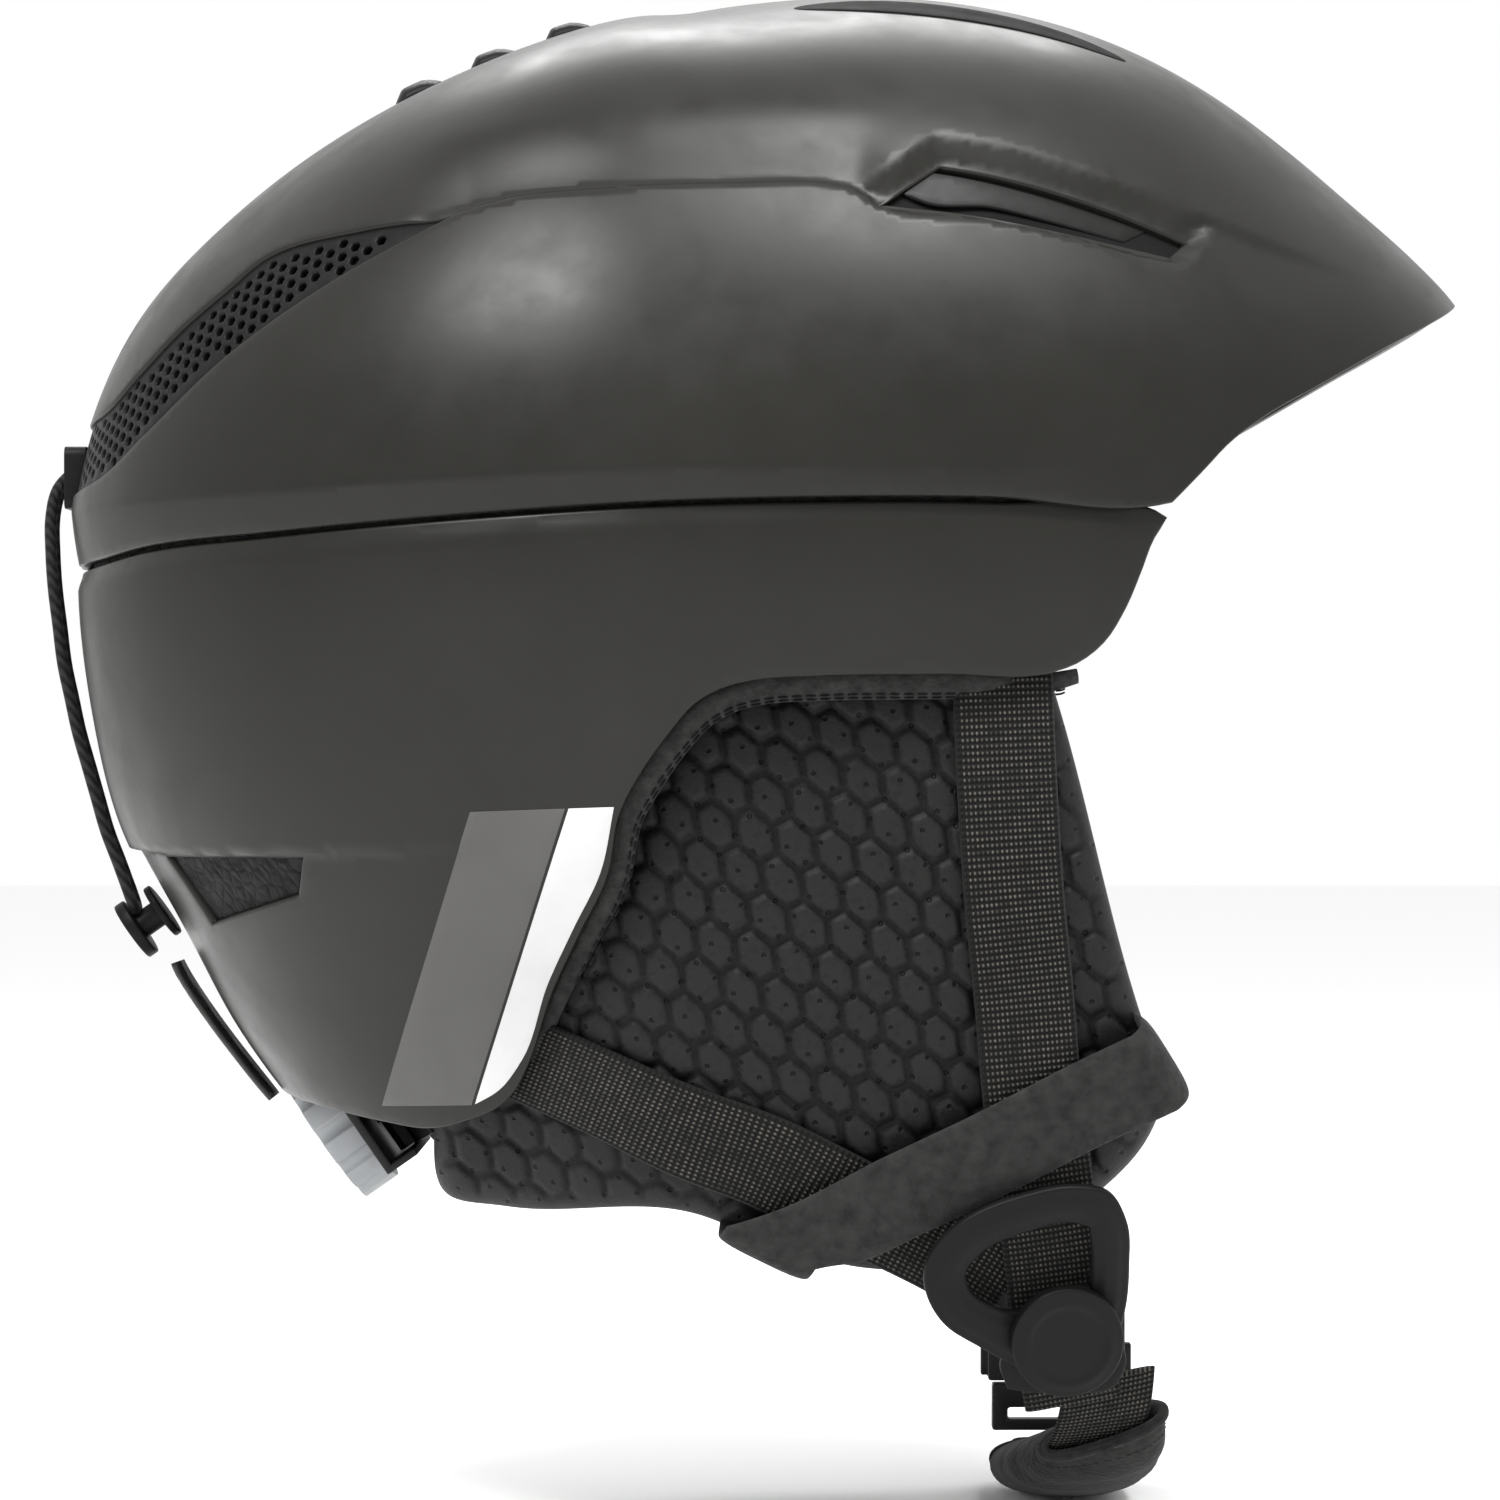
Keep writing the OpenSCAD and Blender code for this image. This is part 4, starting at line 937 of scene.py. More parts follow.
def comfort_pads(knit):
    """Crown, brow and side pads."""
    a = np.linspace(0, 2 * math.pi, 90)[:-1]
    centred_pad("crown_cushion", "crown_pad", np.stack([5 + 60 * np.cos(a), 38 * np.sin(a)], 1),
                lambda p: np.stack([p[:, 0], p[:, 1], np.full(len(p), 92.0)], 1), knit)
    half = 52
    y = np.concatenate([np.linspace(-half, half, 60), np.linspace(half, -half, 60)])
    z = np.concatenate([np.full(60, 36.5), np.full(60, 56.0)])
    z = 46 + (z - 46) * (1 - 0.25 * (np.abs(y) / half) ** 4)
    centred_pad("brow_cushion", "brow_pad", relaxed(np.stack([y, z], 1), 6),
                lambda p: np.stack([np.full(len(p), 84.0), p[:, 0], p[:, 1]], 1), knit)
    outline = [[-39, 5], [0, 4.5], [51, 5], [45.5, 33], [0, 33.5], [-33.5, 33]]
    loop = smooth_loop(outline, 1.2, 40)
    flat = no_repeats(CAVITY.settle(loop[:, 0], loop[:, 1], 1))
    for side in (1, -1):
        name = side_name(side)
        comfort_pad("side_cushion_" + name, "side_pad_" + name, flat, "ear_pad_fabric", knit,
                    egg_unit(CAVITY), CAVITY.lift, side)


# ------------------------------------------------------------------ ear pads
HEX_A = np.array([7.8, -1.85])
HEX_B = np.array([-2.6, -7.2])
HEX_AT = np.array([20.0, -80.0])
PAD_T = 14.0
PAD_ROUND = 6.5


def hex_cells(x, z):
    """How deep a point lies in the grooves between the pad's cells: 1 in a groove, 0 on a top."""
    basis = np.linalg.inv(np.stack([HEX_A, HEX_B], 1))
    uv = (np.stack([x, z], 1) - HEX_AT) @ basis.T
    flat = np.stack([uv[:, 0] - 0.5 * uv[:, 1], -math.sqrt(3) / 2 * uv[:, 1]], 1)
    best = np.full((3, len(x)), 9.0)
    row = np.round(-flat[:, 1] / (math.sqrt(3) / 2))
    for dj in (-1, 0, 1):
        j = row + dj
        i0 = np.round(flat[:, 0] + 0.5 * j)
        for di in (-1, 0, 1):
            i = i0 + di
            cx, cy = i - 0.5 * j, -math.sqrt(3) / 2 * j
            d = np.hypot(flat[:, 0] - cx, flat[:, 1] - cy)
            stack = np.vstack([best, d[None]])
            best = np.sort(stack, axis=0)[:3]
    edge = (best[1] - best[0]) / 2 * 7.6
    return 1 - ease(edge / 1.25)


def inset_loop(loop, d):
    """A loop moved inwards by d, without folds."""
    edge = np.roll(loop, -1, axis=0) - np.roll(loop, 1, axis=0)
    n = np.stack([-edge[:, 1], edge[:, 0]], 1)
    n /= np.linalg.norm(n, axis=1)[:, None]
    area = (loop[:, 0] * np.roll(loop[:, 1], -1) - np.roll(loop[:, 0], -1) * loop[:, 1]).sum()
    out = loop + n * d * (1 if area > 0 else -1)
    return out[reach_of(out, shut(loop)) > 0.97 * d]


def pad_outline():
    """The ear pad's outline in side view, with soft corners."""
    p = np.array(EAR_PAD, float)
    runs = curve(p, closed=True, corner=80, step=0.5)
    loop = np.vstack([even(r, 0.7) for r in runs])
    return no_repeats(relaxed(loop, 14))


def ear_pad(side, materials):
    """Ear pad with hexagon cells on its outer face and plain cloth inside."""
    name = side_name(side)
    outline = inset_loop(pad_outline(), 0.5)
    rings = [inset_loop(outline, PAD_ROUND * (1 - math.cos(math.radians(a)))) for a in (12, 24, 36, 50, 66)]
    points, tris = triangulate([outline], [], 0.72, extra=np.vstack(rings))
    d = reach_of(points, shut(outline))
    near = np.clip(d / PAD_ROUND, 0, 1)
    fall = 1 - np.sqrt(np.maximum(1 - (1 - near) ** 2, 0))
    x, z = points[:, 0], points[:, 1]
    groove = hex_cells(x, z)
    show = ease((d - 1.2) / 3)
    front_y = pad_y(x, z) - 0.3 - PAD_ROUND * fall - groove * 1.15 * show
    belly = 1.2 * (1 - np.clip(d / 20, 0, 1)) ** 2
    back_y = pad_y(x, z) - PAD_T + 0.6 + PAD_ROUND * 0.75 * fall + belly
    back_y = np.minimum(back_y, front_y - 0.05)
    n = len(points)
    verts = np.vstack([np.stack([x, front_y, z], 1), np.stack([x, back_y, z], 1)])
    faces = [tuple(t) for t in tris.tolist()] + [(a + n, c + n, b + n) for a, b, c in tris.tolist()]
    for a, b in border(tris):
        faces.append((a, b, b + n, a + n))
    # The stored groove value darkens the grooves in the pad's material, as painted shade.
    ob = make("ear_pad_cushion_" + name, verts, faces, "helmet", "ear_pad_fabric", materials[0],
              ["ear_pad_" + name], uv=np.vstack([points, points]),
              values={"groove": np.concatenate([groove * show, np.zeros(n)])}, side=side)
    ob.data.materials.append(materials[1])
    inner = np.empty(len(ob.data.polygons), np.int32)
    for i, face in enumerate(ob.data.polygons):
        c = face.center / MM
        inner[i] = 1 if side * c.y < pad_y(c.x, c.z) - PAD_T * 0.55 else 0
    ob.data.polygons.foreach_set("material_index", inner)


def tube_along(path, radius, sides, normals, flat=1.0):
    """Points and faces of a tube along a path, flattened along its normals if flat is under 1."""
    path = np.asarray(path, float)
    t = unit_rows(np.gradient(path, axis=0))
    u = unit_rows(np.cross(t, normals))
    v = np.cross(u, t)
    verts = []
    radius = np.broadcast_to(radius, len(path))
    for i in range(len(path)):
        for j in range(sides):
            a = 2 * math.pi * j / sides
            verts.append(path[i] + radius[i] * (u[i] * math.cos(a) + v[i] * flat * math.sin(a)))
    return np.array(verts), swept(len(path), sides)


def joined(parts):
    """Several shapes as one list of points and one of faces."""
    verts, faces, base = [], [], 0
    for v, f in parts:
        verts.append(v)
        faces += [tuple(i + base for i in g) for g in f]
        base += len(v)
    return np.vstack(verts), faces


def tangents(line):
    return unit_rows(np.gradient(line, axis=0))


def turned(t):
    """Directions in side view turned by a right angle."""
    return np.stack([t[:, 1], -t[:, 0]], 1)


PIPING = [
    [83, -25.4], [77, -26.8], [57, -27.2], [32, -27.6], [21.5, -28.3], [15.4, -29.8], [10.2, -32.6],
    [5.0, -38.0], [-0.6, -45.8], [-4.5, -53], [-7.1, -65.3], [-13, -77.4], [-18.4, -88.2],
    [-24.2, -102.6]]
PIPING_DEPTH = 6.6
STITCH = 9  # points of the fine row to one stitch and its gap
STITCH_SEEN = 7  # of which this many are thread


def piping(side, material, thread):
    """Woven edge band round the ear opening, with two rows of stitches at its inner edge."""
    name = side_name(side)
    line = np.vstack([even(r, 1.2) for r in curve(PIPING)])
    flat = SHELL.settle(line[:, 0], line[:, 1], PIPING_DEPTH)
    width = np.interp(np.arange(len(line)) / len(line), [0, 0.1, 0.6, 1], [1.6, 2.9, 2.9, 1.3])
    path = SHELL.lift(flat, PIPING_DEPTH)
    verts, faces = tube_along(path, width, 16, unit_rows(path), 0.45)
    make("piping_" + name, verts, faces, "helmet", "ear_pad_fabric", material, side=side)
    inward = turned(tangents(line))
    middle = np.array([40.0, -70.0])
    inward *= np.sign(((middle - line) * inward).sum(1))[:, None]
    parts = []
    for off, proud in ((1.5, 1.05), (2.3, 0.7)):
        row = even((line + inward * off)[3:-14], 0.3)
        for k in range(int(len(row) / STITCH)):
            seg = row[k * STITCH:k * STITCH + STITCH_SEEN]
            sflat = SHELL.settle(seg[:, 0], seg[:, 1], PIPING_DEPTH)
            arc = np.sin(np.linspace(0, math.pi, len(seg))) * 0.3
            seg3 = SHELL.lift(sflat, PIPING_DEPTH - proud)
            out = unit_rows(seg3)
            parts.append(tube_along(seg3 + out * (arc[:, None] - 0.1), 0.22, 6, out))
    verts, faces = joined(parts)
    make("piping_stitches_" + name, verts, faces, "helmet", "ear_pad_fabric", thread, side=side)


NECK_TILT = math.radians(-124.8)
NECK_AT = np.array([-64.0, 0, -116])
NECK_R = 54  # radius of the pad's middle, curved round the neck


def neck_pad(material):
    """Curved cushion in front of the dial housing."""
    low, high = (np.array(c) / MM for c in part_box("neck_pad"))
    ex = np.array([math.cos(NECK_TILT), 0, -math.sin(NECK_TILT)])
    ez = np.array([math.sin(NECK_TILT), 0, math.cos(NECK_TILT)])
    half_w = min(high[1], -low[1]) - 0.6
    rows, cols = 34, 46
    verts = []
    for i in range(rows):
        su = math.sin((-1 + 2 * i / (rows - 1)) * math.pi / 2)
        for j in range(cols):
            sv = math.sin((-1 + 2 * j / (cols - 1)) * math.pi / 2)
            y = half_w * sv * math.sqrt(1 - 0.12 * su * su)
            h = -6 + 13.5 * su * math.sqrt(1 - 0.12 * sv * sv)
            edge = max(1 - abs(su) ** 4, 0) ** 0.5 * max(1 - abs(sv) ** 5, 0) ** 0.5
            channel = 0.7 * math.exp(-((y / half_w * 2.2) % 1 - 0.5) ** 2 / 0.004)
            thick = 5.4 * edge - channel * edge
            g = y / 57
            for rr in (NECK_R + thick, NECK_R - thick):
                z = -9.4 - 60 + rr * math.cos(g)
                verts.append(NECK_AT + ex * h + np.array([0, 1, 0]) * (rr * math.sin(g)) + ez * z)
    ob = make("neck_cushion", np.array(verts), two_layers(rows, cols), "helmet", "ear_pad_fabric",
              material, ["neck_pad"])


# ------------------------------------------------------------------ straps
WEB_W = 20.0
WEB_T = 1.6
LIFT_LOW = 0.5
LIFT_HIGH = 2.6
KEEPER_LIFT = 4.7
RING_LIFT = 7.8
FRONT_STRAP = [
    [68, -20], [69, -46], [70.5, -69], [72.6, -89], [74, -105], [76, -120], [79, -140],
    [81, -155], [84, -171]]
REAR_STRAP = [[-35, -98], [-10, -108], [6, -115], [22, -121], [38, -129], [58, -139], [70, -146]]
KEEPER = [[16, -140], [34, -133], [49, -125.5], [66.5, -117], [83, -108.5], [99.5, -101]]
CHIN = [[-49, -173], [-40, -180], [-24, -186], [0, -190], [24, -193], [42, -194], [56, -191]]
CORD_HALF = 3.6  # half the distance between the two strands
CORD = [
    [-122, 19], [-126, 15], [-127.5, 9], [-127.5, 2], [-127, -6], [-126, -14], [-125, -22],
    [-123.5, -29], [-122, -36], [-120, -43], [-118, -50], [-116, -57], [-113.5, -63.5],
    [-111.5, -69]]


BEAD_ALONG, BEAD_ACROSS = 1.28, 0.95  # pitch of the webbing's weave
WEB_STEP = 0.34


def line_of(points, spacing):
    """Even points of the curve through a table, its last point among them."""
    runs = [even(r, spacing) for r in curve(points)]
    last = np.array([points[-1]], float)
    return np.vstack(runs + [last])


def ribbon(frames, width, thick, cols, ridge=0.0, roll=0.3):
    """A band swept along frames of (centre, across, outward), with rounded edges and cross ribs."""
    at, side, out = (np.array([f[k] for f in frames]) for k in range(3))
    length = np.concatenate([[0], np.cumsum(np.linalg.norm(np.diff(at, axis=0), axis=1))])
    half = np.broadcast_to(width, len(at)) / 2
    s = np.sin(np.linspace(-math.pi / 2, math.pi / 2, cols))
    shape = thick / 2 * np.maximum(1 - np.abs(s) ** (2 / roll), 0) ** 0.5
    wave = ridge * np.cos(length / BEAD_ALONG * 2 * math.pi)
    verts, uv = [], []
    for i in range(len(at)):
        top = shape + wave[i] * (shape > 0.1)
        low = -shape + -wave[i] * 0.5 * (shape > 0.1)
        for j, rise in [(j, top[j]) for j in range(cols)] + [(j, low[j]) for j in range(cols - 2, 0, -1)]:
            verts.append(at[i] + side[i] * s[j] * half[i] + out[i] * rise)
            uv.append((s[j] * half[i], length[i]))
    return np.array(verts), swept(len(at), 2 * cols - 2), np.array(uv)


def outward_of(path, side):
    """The directions square to a path and to its side directions, away from the middle plane."""
    out = unit_rows(np.cross(np.gradient(path, axis=0), side))
    return out * np.sign(out[:, 1])[:, None]


def draped_frames(line, lift):
    """Frames along a side-view line over the ear pad; lift gives the height at each share."""
    p = on_pad(line)
    p[:, 1] += lift(np.linspace(0, 1, len(line)))
    reach = turned(tangents(line)) * 3.0
    side = unit_rows(on_pad(line + reach) - on_pad(line - reach))
    return list(zip(p, side, outward_of(p, side)))


def strap(name, points, lift, side, material, node):
    """Webbing along a side-view line over the ear pad."""
    frames = draped_frames(line_of(points, WEB_STEP), lambda t: lift(t) + WEB_T / 2)
    verts, faces, uv = ribbon(frames, WEB_W, WEB_T * 0.98, 15, 0.12)
    make(name, verts, faces, "helmet", "webbing", material, [node], uv=uv, side=side)


KEEPER_W = 16.6
KEEPER_FOLDS = (np.array([8.4, -4.2]), np.array([4.6, -7.2]))


def turned_in(end, way, radius=4.2, tail=7.0):
    """Frames that carry on from the end of a band, round the pad's edge towards its inner face."""
    at, side, out = end
    ahead = np.cross(side, out)
    ahead *= math.copysign(1, ahead[0]) * way
    centre = at - out * radius
    frames, angles = [], range(6, 97, 6)
    for a in np.radians(angles):
        normal = out * math.cos(a) + ahead * math.sin(a)
        frames.append((centre + normal * radius, side, normal))
    square = frames[angles.index(90)]
    for step in np.arange(0.7, tail, 0.7):
        frames.append((square[0] - out * step, side, square[2]))
    return frames if way > 0 else frames[::-1]


def keeper_band(side, material):
    """Elastic band that holds the divider's tails: it hugs the pad and turns in at both ends."""
    name = side_name(side)
    line = line_of([[23.4, -136.0]] + KEEPER[1:-1] + [[96.8, -102.2]], 0.7)
    half = turned(tangents(line)) * KEEPER_W / 2
    share = np.linspace(0, 1, len(line))[:, None]
    at_left, at_right = 1 - ease(share / 0.3), ease((share - 0.75) / 0.25)
    half = half * (1 - at_left - at_right) + KEEPER_FOLDS[0] * at_left + KEEPER_FOLDS[1] * at_right
    pa, pb = on_pad(line - half), on_pad(line + half)
    middle = (pa + pb) / 2
    widths = np.linalg.norm(pb - pa, axis=1)
    across = (pb - pa) / widths[:, None]
    out = outward_of(middle, across)
    frames = list(zip(middle + out * (KEEPER_LIFT + 0.5), across, out))
    before, after = turned_in(frames[0], -1), turned_in(frames[-1], 1)
    widths = np.concatenate([np.full(len(before), widths[0]), widths, np.full(len(after), widths[-1])])
    verts, faces, uv = ribbon(before + frames + after, widths + 0.8, 2.2, 19, roll=0.55)
    make("keeper_sleeve_" + name, verts, faces, "helmet", "soft_band", material,
         ["keeper_band_" + name], uv=uv, side=side)


# ------------------------------------------------------------------ divider
DIVIDER_AT = (75.0, -143.0)
DIVIDER_LEAN = 26.0
DIVIDER_TURN = -12.0
RING_OUT = [
    [53.6, -142], [55.3, -137.6], [60.2, -132.6], [72.9, -127.1], [82.4, -125.6], [88.9, -126.9],
    [92.3, -132.8], [92.9, -140.6], [92.3, -150.6], [90.5, -157], [84, -163.5], [77.5, -163.8],
    [70.3, -160.2], [64.6, -156.9], [56.9, -151.4], [54.3, -146.8]]
RING_IN = [
    [60.3, -141.8], [63.2, -137.8], [73.4, -133.0], [82.2, -131.4], [86.1, -132.6], [86.9, -139],
    [86.6, -146.2], [79.5, -146.6], [71.6, -151.2], [66, -149.6], [61, -145.6]]
DISC_AT = (80.9, -155.0)
DISC_R = 10.5


def divider_axes():
    """Axes of the divider's plane for the left side: forwards, outwards and up."""
    lean, turn = math.radians(-DIVIDER_LEAN), math.radians(DIVIDER_TURN)
    rx = np.array([[1, 0, 0], [0, math.cos(lean), -math.sin(lean)], [0, math.sin(lean), math.cos(lean)]])
    rz = np.array([[math.cos(turn), -math.sin(turn), 0], [math.sin(turn), math.cos(turn), 0], [0, 0, 1]])
    return rz @ rx


def on_divider(xz, height):
    """Points of the divider's plane that lie at x and z in side view, lifted by height."""
    m = divider_axes()
    origin = np.array([DIVIDER_AT[0], pad_y(*DIVIDER_AT) + RING_LIFT, DIVIDER_AT[1]])
    n = m[:, 1]
    x, z = xz[:, 0], xz[:, 1]
    y = origin[1] - ((x - origin[0]) * n[0] + (z - origin[2]) * n[2]) / n[1]
    return np.stack([x, y, z], 1) + n * np.asarray(height).reshape(-1, 1)


def smooth_loop(points, spacing, corner=60):
    """A closed curve through points, at even spacing."""
    return no_repeats(np.vstack([even(r, spacing) for r in curve(points, True, corner)]))


def disc_loop(radius, spacing=0.6, centre=DISC_AT):
    n = int(2 * math.pi * radius / spacing)
    a = np.arange(n) * 2 * math.pi / n
    return np.array(centre) + radius * np.stack([np.cos(a), np.sin(a)], 1)


def divider_plate(name, side, material, loops, spacing, top, wall, round_r, crown=None, nodes=()):
    """A plate on the divider's plane: top is the height of its outer face, crown its relief."""
    points, tris = triangulate(loops, [], spacing)

    def lift(p, d):
        height = np.full(len(p), top - d)
        if crown is not None:
            height = height + crown(p) * (d < wall / 2)
        return on_divider(p, height)

    verts, faces = solid_patch(points, tris, lift, lambda p: np.ones(len(p)), wall, round_r, 4)
    make(name, verts, faces, "helmet", "trim_plastic", material, nodes, side=side)


DIVIDER_FOOT = [
    [69.2, -161.8], [70.6, -166.6], [75.5, -167.4], [84, -167.8], [91.4, -166.6], [93.4, -162],
    [92, -156.5], [81, -158], [71.5, -158]]


def divider(side, material):
    """Strap divider: the ring with its bevel, the lock disc, and on the right the hinge's foot."""
    name = side_name(side)
    ring, window = smooth_loop(RING_OUT, 0.6), smooth_loop(RING_IN, 0.6)
    disc = disc_loop(DISC_R)

    def bevel(p):
        d = np.minimum(reach_of(p, shut(ring)), reach_of(p, shut(window)))
        return 0.55 * ease((d - 0.6) / 1.2) - 0.2

    def face(p):
        d = reach_of(p, shut(disc))
        return 0.5 * ease(d / 2.2) - 0.35 * ease((d - 2.4) / 0.7) + 0.1 * ease((d - 3.6) / 5)

    divider_plate("divider_ring_" + name, side, material, [ring, window], 0.8, 2.6, 2.5, 0.8, bevel,
                  ["divider_" + name])
    divider_plate("divider_lock_" + name, side, material, [disc], 0.7, 6.0, 2.7, 0.7, face,
                  ["divider_disc_" + name])
    if side < 0:
        foot = smooth_loop(DIVIDER_FOOT, 0.6)
        divider_plate("divider_foot_" + name, side, material, [foot], 0.9, 0.9, 1.6, 0.6)


# ------------------------------------------------------------------ chin band
CHIN_X = 86.0
SLEEVE_W = 32.0
SLEEVE_T = 13.0
SLEEVE_SHIFT = 5.0


def chin_frames(spacing, first=0.0, last=1.0, tilt=34.0, points=CHIN):
    """Frames along the chin band from the wearer's right to the left, tipped at the right end."""
    line = line_of(points, spacing)
    t = tangents(line)
    n = len(line)
    out = []
    for i in range(int(first * (n - 1)), int(last * (n - 1)) + 1):
        share = i / (n - 1)
        lean = math.radians(tilt) * (1 - ease(np.array(share / 0.45)))
        along = np.array([0, t[i, 0], t[i, 1]])
        down = np.array([0, t[i, 1], -t[i, 0]])
        side = np.array([1.0, 0, 0]) * math.cos(lean) - along * math.sin(lean)
        x = CHIN_X + SLEEVE_SHIFT * (1 - ease(np.array(share / 0.4)))
        out.append((np.array([x, line[i, 0], line[i, 1]]), side, down, share))
    return out


def chin_webbing(material):
    """Webbing that bends across the hinge under the right divider."""
    frames = [f[:3] for f in chin_frames(WEB_STEP, tilt=16.0, points=[[-54.0, -166.0]] + CHIN)]
    verts, faces, uv = ribbon(frames, WEB_W - 0.6, WEB_T * 0.95, 13, 0.1)
    ob = make("chin_strap", verts, faces, None, "webbing", material, ["chin_webbing"], uv=uv)
    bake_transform(ob)


def sleeve(material):
    """Padded fabric tube round the chin webbing, with an open mouth at each end."""
    frames = chin_frames(1.0, 0.07, 0.9)
    around = 44
    rings_out, rings_in = [], []
    n = len(frames)
    first, last = frames[0][3], frames[-1][3]
    for p, s, o, share in frames:
        t = (share - first) / (last - first)
        mouth = math.exp(-(t / 0.05) ** 2) + math.exp(-((1 - t) / 0.05) ** 2)
        body = ease(np.array(t / 0.14)) * ease(np.array((1 - t) / 0.14))
        half_w = (SLEEVE_W / 2 - 0.6) * (0.94 + 0.06 * body)
        half_t = SLEEVE_T / 2 * (0.72 + 0.26 * body) - 0.5 * mouth
        pucker = 1 + 0.012 * math.sin(share * 55) * body
        ring_o, ring_i = [], []
        for j in range(around):
            a = 2 * math.pi * j / around
            c, q = math.cos(a), math.sin(a)
            x = math.copysign(abs(c) ** 0.82, c)
            y = math.copysign(abs(q) ** 0.9, q)
            ring_o.append(p + s * x * half_w * pucker + o * y * half_t * pucker)
            ring_i.append(p + s * x * (half_w - 1.6) + o * y * max(half_t - 1.6, 1.3))
        rings_out.append(ring_o)
        rings_in.append(ring_i)
    verts = [v for ring in rings_out for v in ring] + [v for ring in rings_in for v in ring]
    m, total = around, n * around
    faces = []
    for i in range(n - 1):
        for j in range(m):
            k = (j + 1) % m
            faces.append((i * m + j, i * m + k, (i + 1) * m + k, (i + 1) * m + j))
            a, b = total + i * m, total + (i + 1) * m
            faces.append((a + k, a + j, b + j, b + k))
    for j in range(m):
        k = (j + 1) % m
        faces.append((j, total + j, total + k, k))
        e = (n - 1) * m
        faces.append((e + k, total + e + k, total + e + j, e + j))
    ob = make("chin_sleeve", verts, faces, "chin_band", "soft_band", material, ["chin_pad"])
    parts = []
    for index in (1, n - 2):
        ring = np.array(rings_out[index] + [rings_out[index][0]])
        parts.append(tube_along(ring, 0.75, 8, np.tile(frames[index][1], (len(ring), 1)) + 0.01))
    for index in (5, n - 6):
        ring = np.array(rings_out[index])
        centre = frames[index][0]
        ring = centre + (ring - centre) * 1.004
        for j in range(around):
            a, b = ring[j], ring[(j + 1) % around]
            seg = np.array([a + (b - a) * u for u in (0.1, 0.4, 0.7)])
            parts.append(tube_along(seg, 0.16, 5, np.tile([0.1, 0.3, 0.9], (3, 1))))
    verts, faces = joined(parts)
    make("chin_sleeve_hems", verts, faces, "chin_band", "soft_band", material)


# ------------------------------------------------------------------ cord, tab and dial
def braided_cord(material):
    """Elastic cord of the goggle retainer: two strands and their turn round the hook."""
    strand = line_of(CORD, 1.0)
    down = np.stack([strand[:, 0], np.full(len(strand), CORD_HALF), strand[:, 1]], 1)
    up = down[::-1] * [1, -1, 1]
    end = down[-1]
    way = strand[-1] - strand[-6]
    way = way / np.linalg.norm(way)
    arc = []
    for a in np.linspace(0, math.pi, 22)[1:-1]:
        off = 4.7 * math.sin(a)
        spread = CORD_HALF * math.cos(a) + 1.1 * math.sin(a) * math.cos(a)
        arc.append([end[0] + way[0] * off, spread, end[2] + way[1] * off])
    path = np.vstack([down, arc, up])
    for _ in range(2):
        path[1:-1] = (path[:-2] + 2 * path[1:-1] + path[2:]) / 4
    verts, faces = tube_along(path, 1.2, 14, np.tile([0.3, 0.1, 1.0], (len(path), 1)))
    make("elastic_loop", verts, faces, "helmet", "elastic_cord", material, ["retainer_cord"])


def pull_tab(material, thread):
    """Leather pull tab that hangs behind the shell, gently curved, with a stitched edge."""
    low, high = [np.array(c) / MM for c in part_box("retainer_tab")]
    z0, z1 = high[2] - 0.3, low[2] + 0.3
    rows, cols = 40, 21
    x_top, x_low = low[0] + 1.25, high[0] - 1.25
    half = 7.6
    verts = []

    def middle(u):
        return np.array([x_top + (x_low - x_top) * u ** 1.15, z0 + (z1 - z0) * u])

    for i in range(rows):
        u = i / (rows - 1)
        p = middle(u)
        q = middle(min(u + 0.01, 1.0)) - middle(max(u - 0.01, 0.0))
        q = q / np.linalg.norm(q)
        n = np.array([q[1], -q[0]])
        taper = math.sqrt(max(1 - max(0, (u - 0.86) / 0.14) ** 2 * 0.5, 0))
        taper *= math.sqrt(max(1 - max(0, (0.08 - u) / 0.08) ** 2 * 0.3, 0))
        for j in range(cols):
            s = math.sin((-1 + 2 * j / (cols - 1)) * math.pi / 2)
            t = 1.15 * max(1 - abs(s) ** 6, 0.05) ** 0.5
            t *= 1 - 0.22 * math.exp(-((abs(s) - 0.78) / 0.06) ** 2)
            for k in (-1, 1):
                verts.append((p[0] + k * n[0] * t, s * half * taper, p[1] + k * n[1] * t))

    faces = two_layers(rows, cols)
    last = 2 * (cols - 1)
    for i in range(rows - 1):
        a, b = i * cols * 2, (i + 1) * cols * 2
        faces += [(a, a + 1, b + 1, b), (a + last, b + last, b + last + 1, a + last + 1)]
    for i in (0, rows - 1):
        for a in range(i * cols * 2, i * cols * 2 + last, 2):
            faces.append((a, a + 2, a + 3, a + 1))
    make("leather_tab", verts, faces, "pull_tab", "tab_leather", material, ["retainer_tab"])
    parts = []
    for edge in (-1, 1):
        for i in range(12):
            seg = []
            for k in range(5):
                u = 0.09 + (i + k / 6.5) * 0.07
                p = middle(min(u, 0.97))
                seg.append([p[0] - 1.12, edge * 5.9, p[1] + 0.3])
            parts.append(tube_along(np.array(seg), 0.2, 6, np.tile([1.0, 0, 0], (5, 1))))
    verts, faces = joined(parts)
    make("tab_stitches", verts, faces, "pull_tab", "tab_leather", thread)


